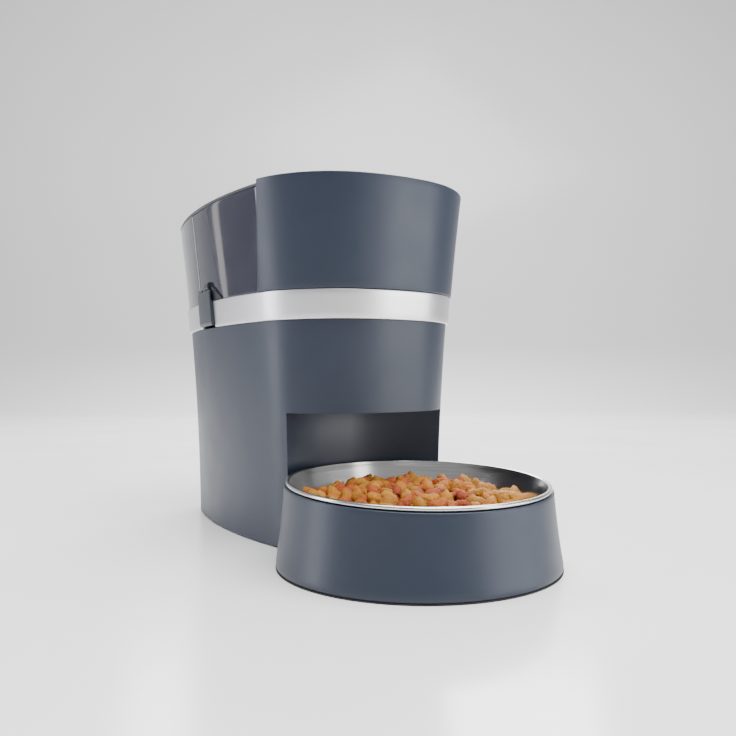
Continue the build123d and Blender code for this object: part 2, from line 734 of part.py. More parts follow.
with BuildPart() as battery_tray:
    with BuildSketch(Plane.XY.offset(BAY_LOW - TRAY_WALL)):
        with Locations((0, (BAY_FRONT_Y - TRAY_WALL + BAY_REAR_Y) / 2)):
            Rectangle(2 * (BAY_HALF + TRAY_WALL), BAY_REAR_Y - BAY_FRONT_Y + TRAY_WALL)
    extrude(amount=BAY_HIGH - BAY_LOW + 2 * TRAY_WALL)
    with BuildSketch(Plane.XY.offset(BAY_LOW)):
        with Locations((0, BAY_FRONT_Y + 30)):
            Rectangle(2 * BAY_HALF, 60)
    extrude(amount=BAY_HIGH - BAY_LOW, mode=Mode.SUBTRACT)
    with BuildSketch(Plane.XY.offset((BAY_LOW + BAY_HIGH) / 2 - 1)):
        with Locations((0, BAY_FRONT_Y + 10)):
            Rectangle(2 * BAY_HALF, 20)
    extrude(amount=2)
    # two lugs that stand on the base plate
    with BuildSketch(Plane.XY.offset(PLATE_TOP)):
        with Locations((50, 186), (-50, 186)):
            Rectangle(10, 20)
    extrude(amount=BAY_LOW - TRAY_WALL - PLATE_TOP)
save(battery_tray, "battery_tray")

with BuildPart() as battery_cells:
    for side in (-1, 1):
        with BuildSketch(Plane.YZ.offset(side * 0.8)):
            with Locations(*[(CELL_Y, z) for z in CELL_ROWS]):
                Circle(CELL_RADIUS)
        extrude(amount=side * CELL_LENGTH)
        with BuildSketch(Plane.YZ.offset(side * (0.8 + CELL_LENGTH))):
            with Locations(*[(CELL_Y, z) for z in CELL_ROWS]):
                Circle(5)
        extrude(amount=side * 1.5)
save(battery_cells, "battery_cells")

with BuildPart() as battery_contacts:
    for side in (-1, 1):
        with BuildSketch(Plane.YZ.offset(side * (CELL_LENGTH + 2.5))):
            with Locations(*[(CELL_Y, z) for z in CELL_ROWS]):
                Circle(7)
        extrude(amount=side * 2)
        with BuildSketch(Plane.YZ.offset(side * (CELL_LENGTH + 4.5))):
            with Locations(*[(CELL_Y, z) for z in CELL_ROWS]):
                Rectangle(20, 20)
        extrude(amount=side * 1)
save(battery_contacts, "battery_contacts")

with BuildPart() as battery_door:
    add(flared_wall(HOUSING_STEP, HOUSING_STEP + WALL, DOOR_LOW, DOOR_HIGH))
    with BuildSketch(Plane.XY.offset(DOOR_LOW)):
        with Locations((0, 280)):
            Rectangle(2 * DOOR_HALF, 180)
    extrude(amount=DOOR_HIGH - DOOR_LOW, mode=Mode.INTERSECT)
    # finger notch at the door's head
    with BuildSketch(Plane.XZ.offset(-200)):
        with Locations((0, DOOR_HIGH)):
            Rectangle(26, 12)
    extrude(amount=-60, mode=Mode.SUBTRACT)
save(battery_door, "battery_door")

# ---------------------------------------------------------------- hopper
# The panel's edge leans: its y at two heights past the panel's top and foot
SEAM_HIGH = (-48.9, 330.0)
SEAM_LOW = (-27.9, 200.0)

LEDGE_INNER = 8.4
LEDGE_HEIGHT = 2.5

with BuildPart() as hopper_shell:
    add(flared_wall(HOPPER_OUTER, HOPPER_OUTER + HOPPER_WALL, HOPPER_LOW, HOPPER_TOP))
    # stiffening ledge round the foot, over the upstand
    add(flared_wall(HOPPER_OUTER + 1, LEDGE_INNER, HOPPER_LOW, HOPPER_LOW + LEDGE_HEIGHT, 3))
save(hopper_shell, "hopper_shell")

# Funnel inside the hopper: its foot is the spout, its head stands outside the hopper's walls
FUNNEL_SHEET = 3.0
FUNNEL_INSET = HOPPER_OUTER + HOPPER_WALL + 0.2
FUNNEL_LOW = 198.0
FUNNEL_HIGH = 298.0
FUNNEL_HEAD_Y = 77.0
FUNNEL_HEAD_WIDTH = 272.0
FUNNEL_HEAD_LENGTH = 396.0
SPOUT_LOW = 190.4
SPOUT_WIDTH = 60.0
SPOUT_LENGTH = 31.0


def funnel_loft(grow):
    """Returns the funnel's four-sided form, from its throat up past the hopper's walls."""
    with BuildPart() as form:
        with BuildSketch(Plane.XY.offset(FUNNEL_LOW)):
            with Locations((0, WHEEL_Y)):
                Rectangle(SPOUT_WIDTH + 2 * grow, SPOUT_LENGTH + 2 * grow)
        with BuildSketch(Plane.XY.offset(FUNNEL_HIGH)):
            with Locations((0, FUNNEL_HEAD_Y)):
                Rectangle(FUNNEL_HEAD_WIDTH + 2 * grow, FUNNEL_HEAD_LENGTH + 2 * grow)
        loft()
    return form.part


with BuildPart() as hopper_funnel:
    add(funnel_loft(FUNNEL_SHEET))
    add(flared_form(FUNNEL_INSET, HOPPER_LOW + 2.8, HOPPER_TOP - 6), mode=Mode.INTERSECT)
    with BuildSketch(Plane.XY.offset(SPOUT_LOW)):
        with Locations((0, WHEEL_Y)):
            Rectangle(SPOUT_WIDTH + 2 * FUNNEL_SHEET, SPOUT_LENGTH + 2 * FUNNEL_SHEET)
    extrude(amount=FUNNEL_LOW + 0.5 - SPOUT_LOW)
    add(funnel_loft(0), mode=Mode.SUBTRACT)
    with BuildSketch(Plane.XY.offset(SPOUT_LOW - 10)):
        with Locations((0, WHEEL_Y)):
            Rectangle(SPOUT_WIDTH, SPOUT_LENGTH)
    extrude(amount=30, mode=Mode.SUBTRACT)
save(hopper_funnel, "hopper_funnel")

with BuildPart() as front_panel:
    add(flared_wall(PANEL_OUTER, PANEL_INNER, HOPPER_LOW, HEIGHT))
    with BuildSketch(Plane.YZ.offset(-150)):
        with BuildLine():
            Polyline(
                (-150, SEAM_LOW[1]),
                (-150, SEAM_HIGH[1]),
                SEAM_HIGH,
                SEAM_LOW,
                close=True,
            )
        make_face()
    extrude(amount=300, mode=Mode.INTERSECT)
save(front_panel, "front_panel")

CATCH_X = 108.3
CATCH_LOW = 223.0
CATCH_HEIGHT = 7.0
CATCH_LENGTH = 16.0

with BuildPart() as hopper_catches:
    with BuildSketch(Plane.XY.offset(CATCH_LOW)):
        with Locations((CATCH_X, LATCH_Y), (-CATCH_X, LATCH_Y)):
            Rectangle(4, CATCH_LENGTH)
    extrude(amount=CATCH_HEIGHT)
    add(
        flared_form(HOPPER_OUTER - 0.05, CATCH_LOW - 3, CATCH_LOW + CATCH_HEIGHT + 5, 3),
        mode=Mode.SUBTRACT,
    )
save(hopper_catches, "hopper_catches")

# ---------------------------------------------------------------- lid and its hinge
RAIL_BARREL_RADIUS = 3.2
LID_REAR_Y = HINGE_Y - RAIL_BARREL_RADIUS - 0.4
KNUCKLE_X = 30.0
KNUCKLE_LENGTH = 20.0
RAIL_HALF = 52.0
SCOOP_Y = -84.0
SCOOP_DEPTH = 1.2

with BuildPart() as hinge_rail:
    add(flared_form(LID_INSET, HOPPER_TOP + 0.1, LID_TOP - 0.7, 3))
    with BuildSketch(Plane.XY.offset(300)):
        with Locations((0, HINGE_Y - 250)):
            Rectangle(400, 500)
    extrude(amount=20, mode=Mode.SUBTRACT)
    # barrel round the pins, flattened above and below
    with BuildSketch(Plane.YZ.offset(-RAIL_HALF)):
        with Locations((HINGE_Y, HINGE_Z)):
            Circle(RAIL_BARREL_RADIUS)
        with Locations((HINGE_Y, (HOPPER_TOP + LID_TOP - 0.6) / 2)):
            Rectangle(10, LID_TOP - HOPPER_TOP - 0.8, mode=Mode.INTERSECT)
    extrude(amount=2 * RAIL_HALF)
    with BuildSketch(Plane.XY.offset(300)):
        with Locations((KNUCKLE_X, HINGE_Y - 0.2), (-KNUCKLE_X, HINGE_Y - 0.2)):
            Rectangle(KNUCKLE_LENGTH + 0.8, 8)
    extrude(amount=20, mode=Mode.SUBTRACT)
    with BuildSketch(Plane.YZ.offset(-46)):
        with Locations((HINGE_Y, HINGE_Z)):
            Circle(HINGE_PIN_RADIUS + 0.02)
    extrude(amount=92, mode=Mode.SUBTRACT)
save(hinge_rail, "hinge_rail")

with BuildPart() as lid_hinge_pins:
    for side in (-1, 1):
        with BuildSketch(Plane.YZ.offset(side * (KNUCKLE_X - 14.5))):
            with Locations((HINGE_Y, HINGE_Z)):
                Circle(HINGE_PIN_RADIUS)
        extrude(amount=side * 29)
save(lid_hinge_pins, "lid_hinge_pins")

with BuildPart() as lid:
    add(flared_form(LID_INSET, LID_LOW, LID_TOP, 3))
    add(flared_form(LID_INSET + 3, LID_LOW, LID_TOP - 2.5, 3), mode=Mode.SUBTRACT)
    with BuildSketch(Plane.XY.offset(300)):
        with Locations((0, LID_REAR_Y + 250)):
            Rectangle(400, 500)
    extrude(amount=20, mode=Mode.SUBTRACT)
    # rear edge rib and the two hinge knuckles
    with BuildSketch(Plane.XY.offset(LID_LOW)):
        with Locations((0, LID_REAR_Y - 1.5)):
            Rectangle(112, 3)
    extrude(amount=LID_TOP - LID_LOW)
    for side in (-1, 1):
        with BuildSketch(Plane.YZ.offset(side * KNUCKLE_X)):
            with Locations((HINGE_Y, HINGE_Z)):
                Circle(2.4)
            with Locations((HINGE_Y - 2.3, HINGE_Z)):
                Rectangle(4.6, 4.2)
        extrude(amount=KNUCKLE_LENGTH / 2, both=True)
    with BuildSketch(Plane.YZ.offset(-60)):
        with Locations((HINGE_Y, HINGE_Z)):
            Circle(HINGE_PIN_RADIUS + SHAFT_RUNNING)
    extrude(amount=120, mode=Mode.SUBTRACT)
    # finger scoop at the front edge
    with BuildSketch(Plane.XY.offset(LID_TOP - SCOOP_DEPTH)):
        with Locations((0, SCOOP_Y)):
            Ellipse(22, 8)
    extrude(amount=5, mode=Mode.SUBTRACT)
save(lid, "lid")

with BuildPart() as lid_gasket:
    add(flared_wall(LID_INSET + 3.2, LID_INSET + 6, 301.5, LID_TOP - 2.6, 3))
    with BuildSketch(Plane.XY.offset(295)):
        with Locations((0, LID_REAR_Y - 3.2 + 250)):
            Rectangle(400, 500)
    extrude(amount=30, mode=Mode.SUBTRACT)
save(lid_gasket, "lid_gasket")

# ---------------------------------------------------------------- bowl stand
# The stand's top is tilted down to the front about the X axis
TOP_PLANE = Plane(
    origin=(0, BOWL_Y, STAND_HEIGHT),
    x_dir=(1, 0, 0),
    z_dir=(0, -sin(radians(STAND_TILT)), cos(radians(STAND_TILT))),
)
STAND_LOW = 1.0
CONE_HIGH = 75.0


def stand_cone(inset, low):
    """Returns the stand's upright cone, set in by a wall, up past its tilted top."""
    slope = (STAND_FOOT_RADIUS - STAND_TOP_RADIUS) / STAND_HEIGHT
    with BuildPart() as cone:
        with BuildSketch(Plane.XY.offset(low)):
            with Locations((0, BOWL_Y)):
                Circle(STAND_FOOT_RADIUS - slope * low - inset)
        with BuildSketch(Plane.XY.offset(CONE_HIGH)):
            with Locations((0, BOWL_Y)):
                Circle(STAND_FOOT_RADIUS - slope * CONE_HIGH - inset)
        loft()
    return cone.part


with BuildPart() as stand_hollow:
    add(stand_cone(STAND_WALL, 0))
    split(bisect_by=TOP_PLANE.offset(-STAND_WALL), keep=Keep.BOTTOM)

with BuildPart() as bowl_stand:
    add(stand_cone(0, STAND_LOW))
    split(bisect_by=TOP_PLANE, keep=Keep.BOTTOM)
    add(stand_hollow.part, mode=Mode.SUBTRACT)
    with BuildSketch(TOP_PLANE.offset(-10)):
        Circle(BOWL_MOUTH_RADIUS + BOWL_SHEET + 0.6)
    extrude(amount=20, mode=Mode.SUBTRACT)
    # collar inside that steadies the bowl
    with BuildSketch(TOP_PLANE.offset(-STAND_WALL)):
        Circle(BOWL_MOUTH_RADIUS + BOWL_SHEET + 2.6)
        Circle(BOWL_MOUTH_RADIUS + BOWL_SHEET + 0.6, mode=Mode.SUBTRACT)
    extrude(amount=-8)
save(bowl_stand, "bowl_stand")

with BuildPart() as stand_ring:
    with BuildSketch():
        with Locations((0, BOWL_Y)):
            Circle(STAND_FOOT_RADIUS - 0.5)
            Circle(STAND_FOOT_RADIUS - STAND_WALL - 3, mode=Mode.SUBTRACT)
    extrude(amount=STAND_LOW)
save(stand_ring, "stand_ring")

# ---------------------------------------------------------------- steel bowl
# Half section in the tilted frame: u is the radius, v the height over the stand's top
BEAD_U = BOWL_MOUTH_RADIUS + BOWL_SHEET + RIM_BEAD_RADIUS
BEAD_V = RIM_BEAD_RADIUS + 0.3
FLOOR_CORNER = 26.0
SECTION_PLANE = Plane(
    origin=(0, BOWL_Y, STAND_HEIGHT),
    x_dir=(1, 0, 0),
    z_dir=(0, -cos(radians(STAND_TILT)), -sin(radians(STAND_TILT))),
)
BOWL_AXIS = Axis((0, BOWL_Y, STAND_HEIGHT), TOP_PLANE.z_dir)


def bowl_section(grow):
    """Returns the bowl's outer or inner face as a filled half section down to its floor."""
    mouth = BOWL_MOUTH_RADIUS + grow
    floor_v = -BOWL_DEPTH - grow
    foot = mouth - 7
    with BuildSketch() as section:
        with BuildLine():
            Line((0, BEAD_V), (mouth, BEAD_V))
            Line((mouth, BEAD_V), (foot, floor_v + FLOOR_CORNER))
            RadiusArc((foot, floor_v + FLOOR_CORNER), (foot - FLOOR_CORNER, floor_v), 27.5)
            Line((foot - FLOOR_CORNER, floor_v), (0, floor_v))
            Line((0, floor_v), (0, BEAD_V))
        make_face()
    return section.sketch


with BuildPart() as bowl:
    with BuildSketch(SECTION_PLANE):
        add(bowl_section(BOWL_SHEET))
        add(bowl_section(0), mode=Mode.SUBTRACT)
        with Locations((BEAD_U - 0.6, BEAD_V)):
            Circle(RIM_BEAD_RADIUS)
    revolve(axis=BOWL_AXIS, revolution_arc=360)
save(bowl, "bowl")
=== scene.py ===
import math

import bmesh
import bpy
import numpy as np
from mathutils import Matrix, Vector


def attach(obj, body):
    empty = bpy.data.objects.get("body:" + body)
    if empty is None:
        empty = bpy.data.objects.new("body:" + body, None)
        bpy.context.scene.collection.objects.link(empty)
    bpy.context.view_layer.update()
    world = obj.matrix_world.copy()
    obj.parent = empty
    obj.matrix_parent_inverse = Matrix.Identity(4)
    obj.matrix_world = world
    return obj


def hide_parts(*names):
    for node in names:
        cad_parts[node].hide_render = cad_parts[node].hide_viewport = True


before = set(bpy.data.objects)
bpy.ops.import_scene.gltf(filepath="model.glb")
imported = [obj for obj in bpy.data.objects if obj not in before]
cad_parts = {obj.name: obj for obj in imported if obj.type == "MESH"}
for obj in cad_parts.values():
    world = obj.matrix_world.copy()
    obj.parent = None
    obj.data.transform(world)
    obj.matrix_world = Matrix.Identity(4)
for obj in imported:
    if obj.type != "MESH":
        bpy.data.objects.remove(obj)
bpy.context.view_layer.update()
scene = bpy.context.scene

# ==== Counter, backdrop, camera and light ===========================================
# The feeder stands on a plain pale polished counter that curves up into a pale wall.
# Soft lights left, right, low in front, behind and overhead light it, as in a studio.
MM = 0.001


def grid_faces(rows, columns, loop_rows=False, loop_columns=False):
    """Quads over points held row by row: each joins a point to the one on its right,
    the one above that, and the one above itself. A loop joins the last to the first."""
    row = np.arange(rows if loop_rows else rows - 1)[:, None]
    column = np.arange(columns if loop_columns else columns - 1)[None, :]
    above = (row + 1) % rows
    right = (column + 1) % columns
    corners = [
        row * columns + column,
        row * columns + right,
        above * columns + right,
        above * columns + column,
    ]
    return np.stack(corners, axis=-1)


def new_object(name, parts, finish):
    """Joins parts, each (points in mm, list of faces), into one smooth mesh object."""
    points, faces, start = [], [], 0
    for part_points, part_faces in parts:
        points.append(np.asarray(part_points, float).reshape(-1, 3))
        faces += [[start + corner for corner in face] for face in part_faces]
        start += len(points[-1])
    mesh = bpy.data.meshes.new(name)
    mesh.from_pydata((np.concatenate(points) * MM).tolist(), [], faces)
    mesh.update()
    mesh.materials.append(finish)
    made = bpy.data.objects.new(name, mesh)
    scene.collection.objects.link(made)
    mesh.shade_smooth()
    return made


def new_finish(name, colour, roughness, metallic=0.0):
    """A material with its node tree, its Principled shader and its three plain values."""
    finish = bpy.data.materials.new(name)
    finish.use_nodes = True
    shader = finish.node_tree.nodes["Principled BSDF"]
    shader.inputs["Base Color"].default_value = (*colour, 1.0)
    shader.inputs["Roughness"].default_value = roughness
    shader.inputs["Metallic"].default_value = metallic
    return finish, finish.node_tree.nodes, finish.node_tree.links, shader


def new_group(name, inputs, outputs):
    """An empty shader node group with float inputs {name: value} and named outputs."""
    tree = bpy.data.node_groups.new(name, "ShaderNodeTree")
    for label, value in inputs.items():
        socket = tree.interface.new_socket(
            name=label, in_out="INPUT", socket_type="NodeSocketFloat"
        )
        socket.default_value = value
    for label in outputs:
        tree.interface.new_socket(
            name=label, in_out="OUTPUT", socket_type="NodeSocketFloat"
        )
    return tree, tree.nodes.new("NodeGroupInput"), tree.nodes.new("NodeGroupOutput")


def place_group(nodes, tree, **values):
    """A group node in a material, with its inputs set by name."""
    node = nodes.new("ShaderNodeGroup")
    node.node_tree = tree
    for label, value in values.items():
        node.inputs[label].default_value = value
    return node


# Cloudy unevenness of a surface: soft patches from hand-sized down to finger-sized.
cloud_tree, cloud_in, cloud_out = new_group(
    "cloudy_patches", {"Scale": 12.0, "Softness": 0.5}, ["Patch"]
)
cloud_place = cloud_tree.nodes.new("ShaderNodeTexCoord")
cloud_noise = cloud_tree.nodes.new("ShaderNodeTexNoise")
cloud_noise.inputs["Detail"].default_value = 5.0
cloud_tree.links.new(cloud_place.outputs["Object"], cloud_noise.inputs["Vector"])
cloud_tree.links.new(cloud_in.outputs["Scale"], cloud_noise.inputs["Scale"])
cloud_tree.links.new(cloud_in.outputs["Softness"], cloud_noise.inputs["Roughness"])
cloud_tree.links.new(cloud_noise.outputs["Fac"], cloud_out.inputs["Patch"])


def spread(nodes, links, value, low, high):
    """A Map Range node that turns a value's usual 0.3 to 0.7 into low to high."""
    node = nodes.new("ShaderNodeMapRange")
    node.inputs["From Min"].default_value = 0.3
    node.inputs["From Max"].default_value = 0.7
    node.inputs["To Min"].default_value = low
    node.inputs["To Max"].default_value = high
    links.new(value, node.inputs["Value"])
    return node.outputs["Result"]


def two_colours(nodes, links, mask, first, second):
    """A colour that goes from the first to the second as the mask rises."""
    node = nodes.new("ShaderNodeMix")
    node.data_type = "RGBA"
    node.inputs["A"].default_value = (*first, 1.0)
    node.inputs["B"].default_value = (*second, 1.0)
    links.new(mask, node.inputs["Factor"])
    return node.outputs["Result"]


counter_white, nodes, links, shader = new_finish("counter_white", (0.8, 0.8, 0.79), 0.2)
patches = place_group(nodes, cloud_tree, Scale=3.0)
links.new(
    two_colours(nodes, links, patches.outputs["Patch"], (0.88, 0.88, 0.87), (0.92, 0.92, 0.91)),
    shader.inputs["Base Color"],
)
links.new(
    spread(nodes, links, patches.outputs["Patch"], 0.16, 0.24), shader.inputs["Roughness"]
)

COUNTER_WIDTH = 9000.0
COUNTER_FRONT = -3000.0
WALL_Y = 3200.0
COVE_RADIUS = 1200.0
WALL_TOP = 4200.0
COUNTER_TURN = math.radians(-27.9)
cove = np.radians(np.linspace(0, 90, 17))
cove_y = WALL_Y - COVE_RADIUS + COVE_RADIUS * np.sin(cove)
cove_z = COVE_RADIUS - COVE_RADIUS * np.cos(cove)
counter_y = np.concatenate([[COUNTER_FRONT], cove_y, [WALL_Y]])
counter_z = np.concatenate([[0.0], cove_z, [WALL_TOP]])
counter_x = np.array([-COUNTER_WIDTH / 2, COUNTER_WIDTH / 2])
counter_grid = np.stack(
    np.broadcast_arrays(counter_x[None, :], counter_y[:, None], counter_z[:, None]), -1
)
turn_matrix = np.array(Matrix.Rotation(COUNTER_TURN, 3, "Z"))
counter = new_object(
    "counter",
    [(counter_grid @ turn_matrix.T, grid_faces(*counter_grid.shape[:2]).reshape(-1, 4).tolist())],
    counter_white,
)

CAMERA_PLACE = (-0.3065, -0.6309, 0.1474)
CAMERA_YAW = -27.91
CAMERA_PITCH = 90.53
CAMERA_ROLL = -0.26
camera_data = bpy.data.cameras.new("camera")
camera_data.sensor_width = 36.0
camera_data.lens = 36.15
camera_data.clip_start = 0.02
camera = bpy.data.objects.new("camera", camera_data)
scene.collection.objects.link(camera)
camera.rotation_mode = "QUATERNION"
camera.rotation_quaternion = (
    Matrix.Rotation(math.radians(CAMERA_YAW), 3, "Z")
    @ Matrix.Rotation(math.radians(CAMERA_PITCH), 3, "X")
    @ Matrix.Rotation(math.radians(CAMERA_ROLL), 3, "Z")
).to_quaternion()
camera.location = CAMERA_PLACE
scene.camera = camera

world = bpy.data.worlds.new("pale_room")
world.use_nodes = True
world.node_tree.nodes["Background"].inputs["Color"].default_value = (0.95, 0.96, 1.0, 1.0)
world.node_tree.nodes["Background"].inputs["Strength"].default_value = 0.42
scene.world = world


def soft_light(name, round_angle, height, distance, width, tall, power, colour=(1, 1, 1)):
    """A rectangular light that faces the feeder from an angle round it, in degrees from
    the front towards the right, at a height and a distance in metres."""
    data = bpy.data.lights.new(name, "AREA")
    data.shape = "RECTANGLE"
    data.size = width
    data.size_y = tall
    data.energy = power
    data.color = colour
    lamp = bpy.data.objects.new(name, data)
    scene.collection.objects.link(lamp)
    angle = math.radians(round_angle)
    lamp.location = (distance * math.sin(angle), -distance * math.cos(angle), height)
    aim = Vector((0.0, 0.0, 0.16)) - lamp.location
    lamp.rotation_mode = "QUATERNION"
    lamp.rotation_quaternion = aim.to_track_quat("-Z", "Y")
    return lamp


soft_light("overhead_light", 20, 2.4, 0.6, 2.6, 2.6, 170)
soft_light("left_light", -112, 0.7, 2.0, 0.75, 1.5, 26, (0.92, 0.92, 1.0))
soft_light("right_light", 28, 0.65, 2.3, 0.55, 1.4, 8, (1.0, 0.99, 0.97))
soft_light("back_light", 152, 1.5, 1.9, 1.8, 1.0, 80)
soft_light("window_light", -146, 0.5, 1.9, 0.12, 1.2, 0.8, (1.0, 0.96, 0.92))
soft_light("low_light", 42, 0.32, 1.9, 1.5, 0.4, 16, (0.96, 0.97, 1.0))

# ==== Base housing ==================================================================
# The lower body is one injection-moulded shell in slate satin plastic with a spark-
# eroded grain. Its oval plan flares upwards, a round recess is let into its front for
# the bowl stand, and a flat deck with an upstand closes its top under the band.
HALF_WIDTH = 119.5
FRONT_REACH = 194.0
BACK_REACH = 159.0
SIDE_RADIUS = 480.0
END_RADIUS = 170.0
FRONT_CORNER_RADIUS = 92.0
BACK_CORNER_RADIUS = 72.0
PLAN_Y = 87.0
HEIGHT = 311.0
FLARE = 21.0
BOW = 4.3


def corner_arc(reach, radius):
    """Centre of the corner arc that touches the end arc and the side arc from inside,
    and the directions in which it meets them: it lies where two circles cross."""
    end_y = reach - END_RADIUS
    side_x = HALF_WIDTH - SIDE_RADIUS
    to_end = END_RADIUS - radius
    to_side = SIDE_RADIUS - radius
    apart = math.hypot(side_x, end_y)
    along = (to_end**2 - to_side**2 + apart**2) / (2 * apart)
    across = math.sqrt(to_end**2 - along**2)
    x = (along * side_x - across * end_y) / apart
    y = end_y - (along * end_y + across * side_x) / apart
    at_end = math.degrees(math.atan2(y - end_y, x))
    at_side = math.degrees(math.atan2(y, x - side_x))
    return x, y, at_end, at_side


front_x, front_y, front_end, front_side = corner_arc(FRONT_REACH, FRONT_CORNER_RADIUS)
back_x, back_y, back_end, back_side = corner_arc(BACK_REACH, BACK_CORNER_RADIUS)
# Half plan from the front round to the back: front, corner, side, corner, back
ARC_LIMITS = np.array([90 - front_end, 90 - front_side, 90 + back_side, 90 + back_end])
ARC_X = np.array([0, front_x, HALF_WIDTH - SIDE_RADIUS, back_x, 0])
ARC_Y = np.array(
    [
        PLAN_Y - FRONT_REACH + END_RADIUS,
        PLAN_Y - front_y,
        PLAN_Y,
        PLAN_Y + back_y,
        PLAN_Y + BACK_REACH - END_RADIUS,
    ]
)
ARC_RADII = np.array(
    [END_RADIUS, FRONT_CORNER_RADIUS, SIDE_RADIUS, BACK_CORNER_RADIUS, END_RADIUS]
)


def set_in(z):
    """How far the skin at height z stands in from the rim: a straight flare plus a bow
    that is zero at the foot and the rim and greatest half-way."""
    level = z / HEIGHT
    return FLARE * (1 - level) + 4 * BOW * level * (1 - level)


def skin(turn, z, inset):
    """Points on the flared skin. The turn is the direction that the skin faces, in
    degrees from the front towards the right, so each arc's point is its centre plus its
    radius, less the inset, in that direction; the left half mirrors the right."""
    turn, z, inset = np.broadcast_arrays(turn, z, inset)
    arc = np.searchsorted(ARC_LIMITS, np.abs(turn))
    reach = ARC_RADII[arc] - inset - set_in(z)
    angle = np.radians(np.abs(turn))
    x = np.sign(turn) * (ARC_X[arc] + reach * np.sin(angle))
    y = ARC_Y[arc] - reach * np.cos(angle)
    return np.stack([x, y, z], axis=-1)


def even_turns(start, end, count):
    """Turns spaced evenly along the rim: the rim's length grows by each arc's radius."""
    fine = np.linspace(start, end, 4001)
    radius = ARC_RADII[np.searchsorted(ARC_LIMITS, np.abs(fine))]
    length = np.concatenate([[0], np.cumsum((radius[1:] + radius[:-1]) / 2 * np.diff(fine))])
    return np.interp(np.linspace(0, length[-1], count), length, fine)


def turn_where(measure, target, low, high):
    """The turn at which a measure that grows with it reaches the target, by halving."""
    low = np.full(np.shape(target), float(low))
    high = np.full(np.shape(target), float(high))
    for _ in range(44):
        middle = (low + high) / 2
        over = measure(middle) > target
        low, high = np.where(over, low, middle), np.where(over, middle, high)
    return (low + high) / 2


BOWL_Y = -134.5
RECESS_RADIUS = 113.6
OVERHANG_Z = 115.5
SKIRT_LOW = 1.2
DECK_TOP = 193.2
HOUSING_STEP = 1.6
HOUSING_WALL = 3.0
WINDOW_HALF = 70.0
WINDOW_LOW = 12.0
WINDOW_HIGH = 98.0
THROAT_Y = -8.0
THROAT_SIZE = (36.0, 22.0)
OUTLET_HALF = 32.7
OUTLET_NEAR = -62.7
OUTLET_FAR = -32.3


def recess_reach(turn, z):
    """Distance of the housing's skin from the middle of the bowl recess."""
    point = skin(turn, z, HOUSING_STEP)
    return np.hypot(point[..., 0], point[..., 1] - BOWL_Y)


levels = np.concatenate(
    [
        np.linspace(SKIRT_LOW, WINDOW_LOW, 4),
        np.linspace(WINDOW_LOW, WINDOW_HIGH, 18)[1:],
        [103.0, 109.0],
        [OVERHANG_Z, 121.0, 127.0, 134.0, 142.0, 150.0, 156.0, 160.0, 165.0, 170.0],
        [174.0, 180.0, 187.0, DECK_TOP],
    ]
)
capped = np.minimum(levels, OVERHANG_Z)
meet = turn_where(lambda turn: recess_reach(turn, capped), RECESS_RADIUS + 0 * levels, 1, 89)
meet_x = skin(meet, capped, HOUSING_STEP)[:, 0]
top_meet = meet[-1]
top_x = meet_x[-1]
window = turn_where(
    lambda turn: -skin(turn, levels, HOUSING_STEP)[:, 0], -WINDOW_HALF + 0 * levels, 110, 180
)
top_window = window[-1]

overhang_x = np.concatenate(
    [
        -np.linspace(top_x, OUTLET_HALF, 17)[:-1],
        np.linspace(-OUTLET_HALF, OUTLET_HALF, 17),
        np.linspace(OUTLET_HALF, top_x, 17)[1:],
    ]
)
front_turns = turn_where(
    lambda turn: skin(turn, OVERHANG_Z + 0 * turn, HOUSING_STEP)[:, 0], overhang_x, -89, 89
)
BACK_LINES = [70.0, 62, 56, 49, 45, 40, 35, 31, 26.5, 22, 17.5, 15.5, 11, 7, 3.5, 0]
back_x_lines = np.array(BACK_LINES + [-x for x in BACK_LINES[:-1]][::-1])
back_turns = turn_where(
    lambda turn: -skin(turn, DECK_TOP + 0 * turn, HOUSING_STEP)[:, 0],
    -np.abs(back_x_lines),
    110,
    180,
)
back_turns = np.where(back_x_lines < 0, 360 - back_turns, back_turns)
side_turns = even_turns(top_meet, top_window, 46)[1:-1]
turns = np.concatenate([front_turns, side_turns, back_turns, 360 - side_turns[::-1]])
FRONT_COUNT = len(front_turns)


def pull(turns, anchor, shift, reach):
    """Moves the turns near an anchor by its shift at each level, less and less away."""
    near = np.clip(1 - np.abs(turns - anchor) / reach, 0, 1)
    return near[None, :] * shift[:, None]


warped = turns[None, :] + pull(turns, top_window, window - top_window, 26.0)
warped = warped + pull(turns, 360 - top_window, top_window - window, 26.0)
meet_shift = meet - top_meet
right_pull = np.clip(1 - (turns - top_meet) / 30.0, 0, 1) * (turns >= top_meet - 1e-6)
left_pull = np.clip(1 - (360 - top_meet - turns) / 30.0, 0, 1) * (turns > 180)
warped = warped + meet_shift[:, None] * (right_pull - left_pull)[None, :]
front_share = np.clip(turns[:FRONT_COUNT] / top_meet, -1, 1)
warped[:, :FRONT_COUNT] = turns[:FRONT_COUNT] + meet_shift[:, None] * front_share
warped = np.where(warped > 180, warped - 360, warped)
housing_skin = skin(warped, levels[:, None], HOUSING_STEP)

